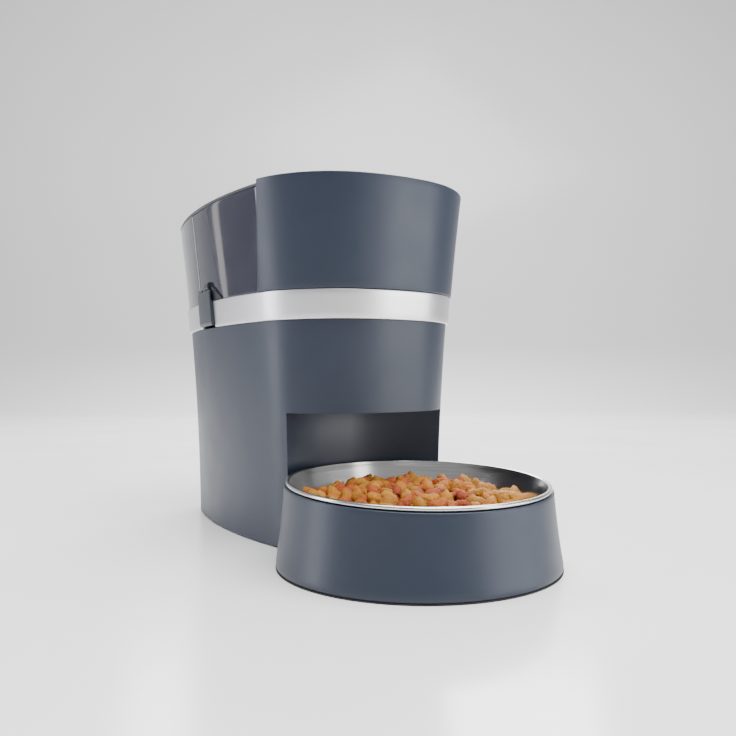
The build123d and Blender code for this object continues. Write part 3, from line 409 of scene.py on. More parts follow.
# The deck runs from the skin's top edge in to the throat, a squared oval
throat_turn = np.arctan2(housing_skin[-1, :, 1] - THROAT_Y, housing_skin[-1, :, 0])
throat_reach = (
    np.abs(np.cos(throat_turn) / THROAT_SIZE[0]) ** 8
    + np.abs(np.sin(throat_turn) / THROAT_SIZE[1]) ** 8
) ** (-1 / 8)
throat_edge = np.stack(
    [
        throat_reach * np.cos(throat_turn),
        THROAT_Y + throat_reach * np.sin(throat_turn),
        DECK_TOP + 0 * throat_turn,
    ],
    axis=-1,
)
deck_share = np.linspace(0, 1, 8)[1:, None, None]
deck_rows = housing_skin[-1][None] * (1 - deck_share) + throat_edge[None] * deck_share
housing_grid = np.concatenate([housing_skin, deck_rows])
rows, columns = housing_grid.shape[:2]
quads = grid_faces(rows, columns, loop_columns=True)
keep = np.ones((rows - 1, columns), bool)
over_row = int(np.argmin(np.abs(levels - OVERHANG_Z)))
keep[:over_row, : FRONT_COUNT - 1] = False
window_rows = (levels[:-1] >= WINDOW_LOW - 0.01) & (levels[1:] <= WINDOW_HIGH + 0.01)
first_back = FRONT_COUNT + len(side_turns)
keep[: len(window_rows)][window_rows, first_back : first_back + len(back_turns) - 1] = False


def round_hole(centre_x, centre_z, radius, margin):
    """Cuts the grid's cells round a hole out, and joins that block's edge to a circle
    on the skin with one ring of faces. Returns the ring's points and faces."""
    column_x = housing_grid[over_row, :, 0]
    inside_c = np.flatnonzero(
        (np.abs(column_x - centre_x) <= radius + margin) & (housing_grid[over_row, :, 1] > 150)
    )
    inside_r = np.flatnonzero(np.abs(levels - centre_z) <= radius + margin)
    c0, c1, r0, r1 = inside_c[0] - 1, inside_c[-1] + 1, inside_r[0] - 1, inside_r[-1] + 1
    keep[r0:r1, c0:c1] = False
    loop_r = np.concatenate(
        [
            np.full(c1 - c0, r0),
            np.arange(r0, r1),
            np.full(c1 - c0, r1),
            np.arange(r1, r0, -1),
        ]
    )
    loop_c = np.concatenate(
        [
            np.arange(c0, c1),
            np.full(r1 - r0, c1),
            np.arange(c1, c0, -1),
            np.full(r1 - r0, c0),
        ]
    )
    outer = housing_grid[loop_r, loop_c]
    angle = np.arctan2(outer[:, 2] - centre_z, outer[:, 0] - centre_x)
    x = centre_x + radius * np.cos(angle)
    z = centre_z + radius * np.sin(angle)
    curve = END_RADIUS - HOUSING_STEP - set_in(z)
    y = ARC_Y[4] + np.sqrt(curve**2 - x**2)
    ring = np.concatenate([outer, np.stack([x, y, z], axis=-1)])
    count = len(outer)
    return ring, grid_faces(2, count, loop_columns=True).reshape(-1, 4).tolist()


BUTTON_HOLE = (0.0, 165.0, 12.0, 1.0)
LIGHT_HOLE = (22.0, 165.0, 2.6, 1.0)
INLET_HOLE = (40.0, 115.0, 5.3, 1.5)
hole_parts = [round_hole(*BUTTON_HOLE), round_hole(*LIGHT_HOLE), round_hole(*INLET_HOLE)]

# Recess wall and overhang in one grid: up the round wall, then forward to the lip
low_levels = levels[: over_row + 1]
wall_x = overhang_x[None, :] * (meet_x[: over_row + 1] / top_x)[:, None]
wall_y = BOWL_Y + np.sqrt(RECESS_RADIUS**2 - wall_x**2)
wall_z = np.broadcast_to(low_levels[:, None], wall_x.shape)
recess_rows = np.stack([wall_x, wall_y, wall_z], axis=-1)
lip = skin(front_turns, OVERHANG_Z, HOUSING_STEP)
rear_y = recess_rows[-1, :, 1]
held_x = np.clip(overhang_x, -OUTLET_HALF, OUTLET_HALF)
held_rear = BOWL_Y + np.sqrt(RECESS_RADIUS**2 - held_x**2)
held_lip = np.interp(held_x, lip[:, 0], lip[:, 1])
far_share = (held_rear - OUTLET_FAR) / (held_rear - held_lip)
near_share = (held_rear - OUTLET_NEAR) / (held_rear - held_lip)
shares = np.stack(
    [far_share, (far_share + near_share) / 2, near_share, (near_share + 1) / 2, 1 + 0 * far_share]
)
over_y = rear_y[None] * (1 - shares) + lip[None, :, 1] * shares
over_x = np.broadcast_to(overhang_x, over_y.shape)
over_z = np.full(over_y.shape, OVERHANG_Z)
recess_grid = np.concatenate([recess_rows, np.stack([over_x, over_y, over_z], axis=-1)])
recess_quads = grid_faces(*recess_grid.shape[:2])
recess_keep = np.ones(recess_quads.shape[:2], bool)
outlet_columns = np.abs((overhang_x[1:] + overhang_x[:-1]) / 2) < OUTLET_HALF
recess_keep[over_row + 1 : over_row + 3, outlet_columns] = False


# Grain of a moulded surface: fine flecks on slow waves.
grain_tree, grain_in, grain_out = new_group(
    "moulded_grain", {"Fineness": 1500.0, "Waviness": 30.0}, ["Height", "Fleck"]
)
grain_place = grain_tree.nodes.new("ShaderNodeTexCoord")
grain_fine = grain_tree.nodes.new("ShaderNodeTexNoise")
grain_fine.inputs["Detail"].default_value = 3.0
grain_wave = grain_tree.nodes.new("ShaderNodeTexNoise")
grain_wave.inputs["Detail"].default_value = 1.0
grain_sum = grain_tree.nodes.new("ShaderNodeMath")
grain_sum.operation = "MULTIPLY_ADD"
grain_sum.inputs[1].default_value = 3.0
for source, label in ((grain_fine, "Fineness"), (grain_wave, "Waviness")):
    grain_tree.links.new(grain_place.outputs["Object"], source.inputs["Vector"])
    grain_tree.links.new(grain_in.outputs[label], source.inputs["Scale"])
grain_tree.links.new(grain_wave.outputs["Fac"], grain_sum.inputs[0])
grain_tree.links.new(grain_fine.outputs["Fac"], grain_sum.inputs[2])
grain_tree.links.new(grain_sum.outputs["Value"], grain_out.inputs["Height"])
grain_tree.links.new(grain_fine.outputs["Fac"], grain_out.inputs["Fleck"])


PLASTIC_SHINE = 0.38


def add_bump(nodes, links, shader, height, distance):
    """Tilts the normal as if the height, from 0 to 1, stood up by a distance in metres."""
    bump = nodes.new("ShaderNodeBump")
    bump.inputs["Distance"].default_value = distance
    links.new(height, bump.inputs["Height"])
    links.new(bump.outputs["Normal"], shader.inputs["Normal"])


def moulded(name, dark, light, roughness, fineness=1500.0, depth=0.00002, patch_scale=14.0):
    """Moulded plastic: the colour drifts from dark to light and the gloss by a tenth
    with cloudy patches, and a bump carries the mould's grain."""
    finish, nodes, links, shader = new_finish(name, dark, roughness)
    shader.inputs["Specular IOR Level"].default_value = PLASTIC_SHINE
    patches = place_group(nodes, cloud_tree, Scale=patch_scale, Softness=0.6)
    grain = place_group(nodes, grain_tree, Fineness=fineness)
    mixed = nodes.new("ShaderNodeMath")
    mixed.operation = "MULTIPLY_ADD"
    mixed.inputs[1].default_value = 0.35
    links.new(grain.outputs["Fleck"], mixed.inputs[0])
    links.new(patches.outputs["Patch"], mixed.inputs[2])
    mask = spread(nodes, links, mixed.outputs["Value"], 0.0, 1.0)
    links.new(two_colours(nodes, links, mask, dark, light), shader.inputs["Base Color"])
    links.new(
        spread(nodes, links, patches.outputs["Patch"], roughness - 0.04, roughness + 0.05),
        shader.inputs["Roughness"],
    )
    add_bump(nodes, links, shader, grain.outputs["Height"], depth)
    return finish


slate_plastic = moulded("slate_plastic", (0.0150, 0.0210, 0.0360), (0.0190, 0.0260, 0.0430), 0.38)

housing_faces = quads[: rows - 1][keep].tolist()
base_shell = new_object(
    "base_shell",
    [
        (housing_grid, housing_faces),
        (recess_grid, recess_quads[recess_keep].tolist()),
        *hole_parts,
    ],
    slate_plastic,
)


def weld(made, distance=0.00002):
    """Merges an object's points that lie together and drops points without a face."""
    solid = bmesh.new()
    solid.from_mesh(made.data)
    bmesh.ops.remove_doubles(solid, verts=solid.verts, dist=distance)
    loose = [v for v in solid.verts if not v.link_faces]
    bmesh.ops.delete(solid, geom=loose, context="VERTS")
    solid.to_mesh(made.data)
    solid.free()


weld(base_shell)


def add_wall(made, thickness):
    """Gives an open skin a wall on its inner side."""
    solidify = made.modifiers.new("wall", "SOLIDIFY")
    solidify.thickness = thickness * MM
    solidify.offset = -1.0
    solidify.use_even_offset = True
    solidify.use_quality_normals = True


def add_rounding(made, width, angle=40, segments=3):
    """Rounds an object's sharp edges over."""
    bevel = made.modifiers.new("rounding", "BEVEL")
    bevel.width = width * MM
    bevel.segments = segments
    bevel.limit_method = "ANGLE"
    bevel.angle_limit = math.radians(angle)
    bevel.use_clamp_overlap = True
    bevel.harden_normals = True


add_wall(base_shell, HOUSING_WALL)
add_rounding(base_shell, 0.9)
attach(base_shell, "root")
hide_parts("base_housing")

# ---- Upstand -----------------------------------------------------------------------
# A plain rib of the same moulding stands on the deck all round. The band clips to its
# outside and the hopper nests on its top; it is cut away behind the two latches.
UPSTAND_LOW = 190.2
UPSTAND_TOP = 216.0
UPSTAND_OUTER = -3.7
UPSTAND_INNER = -6.4
UPSTAND_ROUNDING = 0.5
NOTCH_TOP = 203.2
LATCH_NEAR_Y = 54.0
LATCH_FAR_Y = 96.0


def wall_corners(outer, inner, low, top):
    """The four corners (out, up) of an upright wall's section, anticlockwise."""
    return [(outer, low), (outer, top), (inner, top), (inner, low)]


def rounded_section(corners, radius, steps=4):
    """A closed outline (out, up), anticlockwise, with each corner replaced by an arc
    that touches both its sides. Returns the points and their outward directions."""
    corners = np.array(corners, float)
    before = np.roll(corners, 1, axis=0) - corners
    after = np.roll(corners, -1, axis=0) - corners
    before /= np.linalg.norm(before, axis=1, keepdims=True)
    after /= np.linalg.norm(after, axis=1, keepdims=True)
    half = np.arccos(np.clip((before * after).sum(axis=1), -1, 1))[:, None] / 2
    middle = (before + after) / np.linalg.norm(before + after, axis=1, keepdims=True)
    centre = corners + middle * radius / np.sin(half)
    start = corners + before * radius / np.tan(half) - centre
    end = corners + after * radius / np.tan(half) - centre
    first = np.arctan2(start[:, 1], start[:, 0])
    sweep = np.arctan2(end[:, 1], end[:, 0]) - first
    sweep = (sweep + np.pi) % (2 * np.pi) - np.pi
    angle = first[:, None] + sweep[:, None] * np.linspace(0, 1, steps + 1)[None, :]
    facing = np.stack([np.cos(angle), np.sin(angle)], axis=-1)
    points = (centre[:, None, :] + radius * facing).reshape(-1, 2)
    outward = (facing * np.sign(sweep)[:, None, None]).reshape(-1, 2)
    return points, outward


def divided(points, outward, longest):
    """Adds points along the outline's straight sides, so that none is longer."""
    ahead = np.roll(points, -1, axis=0)
    gaps = np.linalg.norm(ahead - points, axis=1)
    new_points, new_outward = [], []
    for k, gap in enumerate(gaps):
        share = np.arange(max(1, math.ceil(gap / longest)))[:, None] / max(
            1, math.ceil(gap / longest)
        )
        new_points.append(points[k] * (1 - share) + ahead[k] * share)
        new_outward.append(np.repeat(outward[k][None], len(share), axis=0))
    return np.concatenate(new_points), np.concatenate(new_outward)


def closed_part(grid, loop_columns):
    """A solid from a grid whose rows go round its section: a ring where the columns
    loop, and otherwise a bar with a flat face at each end."""
    rows, columns = grid.shape[:2]
    faces = grid_faces(rows, columns, True, loop_columns).reshape(-1, 4).tolist()
    if not loop_columns:
        first = list(range(0, rows * columns, columns))
        faces += [first, [corner + columns - 1 for corner in reversed(first)]]
    return grid, faces


def side_turn(y, z, inset):
    """The turn at which the skin's right half passes a given y."""
    y, z, inset = np.broadcast_arrays(np.asarray(y, float), z, inset)
    return turn_where(lambda turn: skin(turn, z, inset)[..., 1], y, 1, 179)


STEP_TURN = 0.012
near_turn = float(side_turn(LATCH_NEAR_Y, UPSTAND_TOP, 5.0))
far_turn = float(side_turn(LATCH_FAR_Y, UPSTAND_TOP, 5.0))
notch_turns = np.array([near_turn, near_turn + STEP_TURN, far_turn - STEP_TURN, far_turn])
upstand_turns = np.sort(
    np.concatenate([even_turns(-180, 180, 181)[:-1], notch_turns, -notch_turns])
)
in_notch = (np.abs(upstand_turns) > near_turn + STEP_TURN / 2) & (
    np.abs(upstand_turns) < far_turn - STEP_TURN / 2
)
upstand_section = rounded_section(
    wall_corners(UPSTAND_OUTER, UPSTAND_INNER, UPSTAND_LOW, UPSTAND_TOP), UPSTAND_ROUNDING
)[0]
upstand_z = upstand_section[:, 1][:, None] + 0 * upstand_turns[None, :]
low_half = upstand_z < (UPSTAND_LOW + UPSTAND_TOP) / 2
upstand_z = upstand_z + low_half * in_notch[None, :] * (NOTCH_TOP - UPSTAND_LOW)
upstand_grid = skin(upstand_turns[None, :], upstand_z, -upstand_section[:, 0][:, None])
base_upstand = new_object("base_upstand", [closed_part(upstand_grid, True)], slate_plastic)
base_upstand.data.set_sharp_from_angle(angle=math.radians(50))
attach(base_upstand, "root")
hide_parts("base_housing")

# ==== Battery door ==================================================================
# A loose slate cover closes the back-up cells' bay in the rear wall. It has the wall's
# own curve, a finger notch at its head and three low grip ribs below the notch.
DOOR_HALF = 69.7
DOOR_LOW = 12.3
DOOR_HIGH = 97.7
NOTCH_HALF = 13.0
NOTCH_LOW = 91.7
RIB_LEVELS = (79.0, 82.5, 86.0)
RIB_WIDTH = 0.7
RIB_HEIGHT = 0.6

door_x = np.concatenate(
    [np.linspace(DOOR_HALF, NOTCH_HALF, 14), np.linspace(NOTCH_HALF, -NOTCH_HALF, 9)[1:-1]]
)
door_x = np.concatenate([door_x, np.linspace(-NOTCH_HALF, -DOOR_HALF, 14)])
door_z = np.concatenate(
    [
        np.linspace(DOOR_LOW, 76, 10),
        np.linspace(77, 88, 34),
        [90.0, NOTCH_LOW, 94.7, DOOR_HIGH],
    ]
)
door_turn = turn_where(
    lambda turn: -skin(turn, door_z[:, None] + 0 * turn, HOUSING_STEP)[..., 0],
    -np.abs(door_x)[None, :] + 0 * door_z[:, None],
    110,
    180,
)
ribs = sum(np.exp(-(((door_z - level) / RIB_WIDTH) ** 2)) for level in RIB_LEVELS)
rib_reach = np.clip((NOTCH_HALF - np.abs(door_x)) / 2.0, 0, 1)
door_grid = skin(door_turn, door_z[:, None], HOUSING_STEP)
door_grid[..., 0] = door_x[None, :]
door_grid[..., 1] += RIB_HEIGHT * ribs[:, None] * rib_reach[None, :]
door_quads = grid_faces(*door_grid.shape[:2])
door_keep = ~(
    (door_z[:-1, None] >= NOTCH_LOW - 0.01)
    & (np.abs((door_x[1:] + door_x[:-1]) / 2)[None, :] < NOTCH_HALF)
)
battery_cover = new_object(
    "battery_cover", [(door_grid, door_quads[door_keep].tolist())], slate_plastic
)
weld(battery_cover)
add_wall(battery_cover, HOUSING_WALL)
add_rounding(battery_cover, 0.5)
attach(battery_cover, "battery_door")
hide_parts("battery_door")

# ==== Silver band ===================================================================
# A trim ring of plastic in satin silver lacquer clips round the upstand. It is in two
# lengths, front and rear, whose rounded ends leave a gap on each side for a latch.
BAND_LOW = 193.5
BAND_TOP = 218.0
BAND_OUTER = 0.6
BAND_INNER = -3.4
BAND_ROUNDING = 0.9
BAND_NEAR_Y = 54.3
BAND_FAR_Y = 95.7


def rounded_run(start, end, count, radius, turn_per_mm):
    """Turns from start to end, and how far the section shrinks at each: a quarter
    circle at both ends, and nothing between."""
    quarter = np.radians(np.linspace(0, 90, 6))
    ahead = radius * (1 - np.cos(quarter)) * turn_per_mm
    shrink = radius * (1 - np.sin(quarter))
    inner = even_turns(start + ahead[-1], end - ahead[-1], count)
    turns = np.concatenate([start + ahead[:-1], inner, end - ahead[:-1][::-1]])
    return turns, np.concatenate([shrink[:-1], 0 * inner, shrink[:-1][::-1]])


def shrunk(points, outward, shrink):
    """How far out and up each outline point lies at each column, once the outline is
    drawn in by that column's shrink against its outward directions."""
    placed = points[:, None, :] - shrink[None, :, None] * outward[:, None, :]
    return placed[..., 0], placed[..., 1]


band_points, band_outward = rounded_section(
    wall_corners(BAND_OUTER, BAND_INNER, BAND_LOW, BAND_TOP), BAND_ROUNDING
)
band_points, band_outward = divided(band_points, band_outward, 5.0)
side_turn_per_mm = 1 / math.radians(SIDE_RADIUS)
band_near = float(side_turn(BAND_NEAR_Y, BAND_TOP, 0.0))
band_far = float(side_turn(BAND_FAR_Y, BAND_TOP, 0.0))
band_parts = []
for start, end, count in ((-band_near, band_near, 110), (band_far, 360 - band_far, 110)):
    if end > 180:
        first, shrink_a = rounded_run(start, 180, count // 2, BAND_ROUNDING, side_turn_per_mm)
        first, shrink_a = first[:-5], shrink_a[:-5]
        first[-1] = 180
        run = np.concatenate([first, -first[:-1][::-1]])
        shrink = np.concatenate([shrink_a, shrink_a[:-1][::-1]])
    else:
        run, shrink = rounded_run(start, end, count, BAND_ROUNDING, side_turn_per_mm)
    out, up = shrunk(band_points, band_outward, shrink)
    band_parts.append(closed_part(skin(run[None, :], up, -out), False))

silver_trim, nodes, links, shader = new_finish("silver_trim", (0.62, 0.62, 0.64), 0.33, 0.85)
patches = place_group(nodes, cloud_tree, Scale=9.0)
grain = place_group(nodes, grain_tree, Fineness=2600.0)
links.new(
    two_colours(
        nodes,
        links,
        spread(nodes, links, grain.outputs["Fleck"], 0.0, 1.0),
        (0.60, 0.60, 0.62),
        (0.72, 0.72, 0.73),
    ),
    shader.inputs["Base Color"],
)
links.new(
    spread(nodes, links, patches.outputs["Patch"], 0.30, 0.37), shader.inputs["Roughness"]
)
add_bump(nodes, links, shader, grain.outputs["Height"], 0.000006)

trim_band = new_object("trim_band", band_parts, silver_trim)
trim_band.data.set_sharp_from_angle(angle=math.radians(50))
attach(trim_band, "root")
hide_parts("silver_band")

# ==== Side latches ==================================================================
# A dark moulded latch swings on a steel pin in each gap of the band. Its head reaches
# up beside the hopper's foot, and a bump at the rear of its top edge is for the finger.
LATCH_OUTLINE = [
    (103.9, 195.6),
    (109.9, 195.2),
    (110.8, 198.0),
    (112.9, 226.5),
    (112.3, 228.5),
    (110.7, 228.5),
    (110.7, 220.0),
    (107.6, 217.0),
    (104.4, 200.5),
]
LATCH_FRONT = 55.0
LATCH_BACK = 95.0
LATCH_ROUNDING = 0.6
BUMP_OUTLINE = [(110.9, 226.5), (112.7, 226.5), (112.5, 230.6), (111.0, 230.6)]
BUMP_FRONT = 80.5
BUMP_BACK = 94.0
UP = np.array([0.0, 0.0, 1.0])


def prism(outline, out_axis, low, high, radius):
    """A bar with all its edges rounded: an outline (out, up) carried sideways, in the
    direction up x out, from low to high, shrinking in a quarter circle at both ends."""
    points, outward = rounded_section(outline, radius)
    quarter = np.radians(np.linspace(0, 90, 5))
    ahead = radius * (1 - np.cos(quarter))
    shrink = radius * (1 - np.sin(quarter))
    along = np.concatenate([low + ahead, high - ahead[::-1]])
    out, up = shrunk(points, outward, np.concatenate([shrink, shrink[::-1]]))
    out_axis = np.array(out_axis, float)
    sideways = np.cross(UP, out_axis)
    grid = out[..., None] * out_axis + up[..., None] * UP + along[None, :, None] * sideways
    return closed_part(grid, False)


def both_sides(outline, front, back, radius):
    """The same bar along Y on the right and on the left: {body side: part}."""
    return {
        "right": prism(outline, (1, 0, 0), front, back, radius),
        "left": prism(outline, (-1, 0, 0), -back, -front, radius),
    }


black_plastic = moulded(
    "black_plastic", (0.010, 0.012, 0.016), (0.016, 0.019, 0.024), 0.4, 1200.0, 0.00003, 25.0
)
latch_bodies = both_sides(LATCH_OUTLINE, LATCH_FRONT, LATCH_BACK, LATCH_ROUNDING)
rear_bumps = both_sides(BUMP_OUTLINE, BUMP_FRONT, BUMP_BACK, LATCH_ROUNDING)
latch_plastic = moulded(
    "latch_plastic", (0.020, 0.026, 0.036), (0.028, 0.034, 0.045), 0.36, 1400.0, 0.00002, 20.0
)
for side in ("right", "left"):
    clip = new_object("side_clip_" + side, [latch_bodies[side], rear_bumps[side]], latch_plastic)
    clip.data.set_sharp_from_angle(angle=math.radians(50))
    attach(clip, "latch_" + side)
    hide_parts("latch_" + side)

# ==== Hopper shell ==================================================================
# The lift-off food bin is moulded in glossy smoke-tinted clear plastic. Each side has a
# shallow tapered pad sunk into it over the latch, and the rim tucks in under the lid.
SHELL_OUTER = -1.0
SHELL_INNER = -3.5
SHELL_LOW = 218.3
SHELL_TOP = 304.0
SHELL_ROUNDING = 0.8
PAD_DEPTH = 0.9
PAD_STEP = 2.2
PAD_BACK_Y = 100.0
PAD_TOP_Y = 54.5
PAD_LEAN = 0.25
SIDE_START_Y = 10.0
RIM_RISE = 2.0

shell_points, shell_outward = rounded_section(
    wall_corners(SHELL_OUTER, SHELL_INNER, SHELL_LOW, SHELL_TOP), SHELL_ROUNDING
)
shell_points, shell_outward = divided(shell_points, shell_outward, 2.5)
shell_z = shell_points[:, 1][:, None]
pad_front = PAD_TOP_Y - PAD_LEAN * (308.0 - shell_z)
pad_lines = [
    SIDE_START_Y + (pad_front - 1 - SIDE_START_Y) * np.linspace(0, 1, 12)[None, :],
    pad_front + np.linspace(-0.7, 3.0, 14)[None, :],
    pad_front + 4 + (PAD_BACK_Y - 4 - pad_front - 4) * np.linspace(0, 1, 16)[None, :],
    PAD_BACK_Y + np.linspace(-3.0, 0.7, 14)[None, :] + 0 * shell_z,
    PAD_BACK_Y + 1.5 + 20.0 * np.linspace(0, 1, 5)[None, :] + 0 * shell_z,
]
side_y = np.concatenate(pad_lines, axis=1)
shell_inset = -shell_points[:, 0][:, None]
side_turns = side_turn(side_y, shell_z + 0 * side_y, shell_inset + 0 * side_y)
front_arc = even_turns(0, float(side_turns[:, 0].min()) - 2.0, 40)
back_arc = even_turns(float(side_turns[:, -1].max()) + 1.5, 180, 50)
right_turns = np.concatenate(
    [
        front_arc[None, :] + 0 * shell_z,
        side_turns,
        back_arc[None, :] + 0 * shell_z,
    ],
    axis=1,
)
shell_turns = np.concatenate([right_turns, -right_turns[:, 1:-1][:, ::-1]], axis=1)
shell_skin = skin(shell_turns, shell_z, shell_inset)


def gentle(share):
    """Rises from 0 to 1 with no corner at either end: three squares less two cubes."""
    share = np.clip(share, 0, 1)
    return share * share * (3 - 2 * share)


in_pad = gentle((shell_skin[..., 1] - pad_front) / PAD_STEP) * gentle(
    (PAD_BACK_Y - shell_skin[..., 1]) / PAD_STEP
)
outer_side = (shell_points[:, 0] > (SHELL_OUTER + SHELL_INNER) / 2)[:, None]
pad_inset = PAD_DEPTH * in_pad * outer_side * (np.abs(shell_turns) < 120)
shell_grid = skin(shell_turns, shell_z, shell_inset + pad_inset)
# the rim rises a little under the lid, except along the hinge
rim_rise = gentle((shell_grid[..., 2] - 292.0) / 12.0) * gentle((228.0 - shell_grid[..., 1]) / 6.0)
shell_grid[..., 2] += RIM_RISE * rim_rise

smoky_clear, nodes, links, shader = new_finish("smoky_clear", (0.16, 0.15, 0.20), 0.06)
shader.inputs["Transmission Weight"].default_value = 0.45
shader.inputs["IOR"].default_value = 1.5
shader.inputs["Coat Weight"].default_value = 0.3
patches = place_group(nodes, cloud_tree, Scale=22.0, Softness=0.65)
links.new(
    two_colours(nodes, links, patches.outputs["Patch"], (0.026, 0.030, 0.052), (0.060, 0.060, 0.090)),
    shader.inputs["Base Color"],
)
links.new(
    spread(nodes, links, patches.outputs["Patch"], 0.04, 0.14), shader.inputs["Roughness"]
)
food_bin = new_object("food_bin", [closed_part(shell_grid, True)], smoky_clear)
food_bin.data.set_sharp_from_angle(angle=math.radians(60))
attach(food_bin, "hopper")
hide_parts("hopper_shell")

# ==== Hopper catches ================================================================
# A black catch is welded on each side of the bin: a tooth that stands out over the
# latch's head. In front of it, a thin black wedge slopes down to the band. The wedge is
# painted shade: a dark plate that stands in for the shadow in front of the latch's head.
TOOTH = [
    (107.6, 221.0),
    (110.2, 221.0),
    (110.3, 229.4),
    (112.4, 230.8),
    (112.2, 235.0),
    (111.0, 236.6),
    (108.0, 236.6),
]
TOOTH_FRONT = 62.0
TOOTH_BACK = 76.0
TOOTH_ROUNDING = 0.7
SHADE_WEDGE_FRONT = 35.0
SHADE_WEDGE_BACK = 57.5
SHADE_WEDGE_LOW = 218.6
SHADE_WEDGE_RISE = 13.0
teeth = both_sides(TOOTH, TOOTH_FRONT, TOOTH_BACK, TOOTH_ROUNDING)
catch_and_shade_parts = []
for side, sign in (("right", 1.0), ("left", -1.0)):
    catch_and_shade_parts.append(teeth[side])
    # The thin black plate made below is painted shade: it stands in for the shadow that falls in
    # front of the latch's head.
    share = np.linspace(0, 1, 9)[:, None]
    columns_y = np.linspace(SHADE_WEDGE_FRONT, SHADE_WEDGE_BACK, 12)
    slope = np.clip((columns_y - SHADE_WEDGE_FRONT) / 21.0, 0, 1)
    top_z = SHADE_WEDGE_LOW + 0.4 + SHADE_WEDGE_RISE * slope
    face_z = SHADE_WEDGE_LOW + (top_z[None, :] - SHADE_WEDGE_LOW) * share
    face_turn = side_turn(columns_y[None, :] + 0 * face_z, face_z, 0.9)
    front_skin = skin(face_turn, face_z, 0.2)
    rear_skin = skin(face_turn, face_z, 2.6)
    shade_wedge = np.concatenate([front_skin, rear_skin[::-1]])
    shade_wedge[..., 0] *= sign
    if sign < 0:
        shade_wedge = shade_wedge[:, ::-1]
    catch_and_shade_parts.append(closed_part(shade_wedge, False))
bin_catches_and_shade_wedges = new_object("bin_catches_and_shade_wedges", catch_and_shade_parts, black_plastic)
bin_catches_and_shade_wedges.data.set_sharp_from_angle(angle=math.radians(40))
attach(bin_catches_and_shade_wedges, "hopper")
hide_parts("hopper_catches")

# ==== Front panel ===================================================================
# A curved slate cover is bonded over the front of the bin. Both its side edges lean
# forwards as they rise, and its top edge stands a little above the lid.
PANEL_OUTER = 1.2
PANEL_INNER = -0.8
PANEL_LOW = 218.3
PANEL_TOP = 311.0
PANEL_ROUNDING = 0.8
SEAM_LOW = (-27.9, 200.0)
SEAM_HIGH = (-48.9, 330.0)
PANEL_HALF = 60.0

panel_points, panel_outward = rounded_section(
    wall_corners(PANEL_OUTER, PANEL_INNER, PANEL_LOW, PANEL_TOP), PANEL_ROUNDING
)
panel_points, panel_outward = divided(panel_points, panel_outward, 5.0)
corner_turn_per_mm = 1 / math.radians(FRONT_CORNER_RADIUS)
panel_share, panel_shrink = rounded_run(
    -PANEL_HALF, PANEL_HALF, 90, PANEL_ROUNDING, corner_turn_per_mm
)
panel_out, panel_z = shrunk(panel_points, panel_outward, panel_shrink)
seam_y = np.interp(panel_z, [SEAM_LOW[1], SEAM_HIGH[1]], [SEAM_LOW[0], SEAM_HIGH[0]])
seam_turn = side_turn(seam_y, panel_z, -panel_out)
from_end = PANEL_HALF - np.abs(panel_share)
panel_turn = np.sign(panel_share) * (
    seam_turn - from_end - (seam_turn - PANEL_HALF) * gentle(from_end / PANEL_HALF)
)
panel_grid = skin(panel_turn, panel_z, -panel_out)
front_cover = new_object("front_cover", [closed_part(panel_grid, False)], slate_plastic)
front_cover.data.set_sharp_from_angle(angle=math.radians(60))
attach(front_cover, "hopper")
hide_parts("front_panel")

# ==== Lid ===========================================================================
# The lid is a thin plate in the latches' darker slate, with a rim turned down inside
# the bin. It hinges at its straight rear edge; a finger scoop is pressed in in front.
LID_INSET = 1.2
LID_LOW = 304.3
LID_TOP = 309.3
LID_PLATE_LOW = 306.8
LID_EDGE_LOW = 306.4
LID_RIM = 3.0
LID_REAR_Y = 230.4
LID_ROUNDING = 0.8
SCOOP_PLACE = (0.0, -84.0)
SCOOP_SIZE = (22.0, 8.0)
SCOOP_DEPTH = 1.2
KNUCKLE_X = 30.0
KNUCKLE_HALF = 10.0
HINGE_PLACE = (234.0, 306.8)
KNUCKLE_RADIUS = 2.4

lid_turns = even_turns(-180, 180, 241)[:-1]


def lid_outline(z, inset):
    """The lid's edge: the flared skin set in, cut straight along the hinge."""
    edge = skin(lid_turns, z, inset)
    edge[..., 1] = np.minimum(edge[..., 1], LID_REAR_Y - (inset - LID_INSET))
    return edge


quarter = np.radians(np.linspace(0, 90, 6))
rim_inset = LID_INSET + LID_ROUNDING * (1 - np.cos(quarter))
rim_z = LID_TOP - 0.6 - LID_ROUNDING * (1 - np.sin(quarter))
lid_rows = [lid_outline(LID_PLATE_LOW, LID_INSET + LID_RIM)]
middle = np.array([0.0, 77.0, 0.0])
under_scale = np.linspace(0.03, 1, 10)[:-1, None, None]
under_edge = lid_rows[0] - [0, 0, LID_PLATE_LOW]
under_rows = middle + under_scale * (under_edge - middle) + [0, 0, LID_PLATE_LOW]
edge_rows = [
    lid_outline(LID_PLATE_LOW, LID_INSET + LID_RIM),
    lid_outline(LID_LOW, LID_INSET + LID_RIM),
    lid_outline(LID_LOW, LID_INSET + LID_RIM - 0.4),
    lid_outline(LID_EDGE_LOW, LID_INSET + LID_RIM - 0.4),
    lid_outline(LID_EDGE_LOW, LID_INSET + 0.3),
    lid_outline(LID_EDGE_LOW + 0.3, LID_INSET),
    *[lid_outline(z, inset) for inset, z in zip(rim_inset, rim_z)],
]
top_edge = lid_outline(LID_TOP, LID_INSET + LID_ROUNDING) - [0, 0, LID_TOP]
top_scale = np.concatenate([np.linspace(0.995, 0.80, 28), np.linspace(0.78, 0.03, 24)])
top_scale = top_scale[:, None, None]
top_rows = middle + top_scale * (top_edge - middle)
top_rows[..., 2] = LID_TOP - 0.6 * top_scale[..., 0] ** 6
scoop = gentle(
    1.35
    - ((top_rows[..., 0] - SCOOP_PLACE[0]) / SCOOP_SIZE[0]) ** 2
    - ((top_rows[..., 1] - SCOOP_PLACE[1]) / SCOOP_SIZE[1]) ** 2
)
top_rows[..., 2] -= SCOOP_DEPTH * scoop
lid_grid = np.concatenate([under_rows, np.array(edge_rows), top_rows])


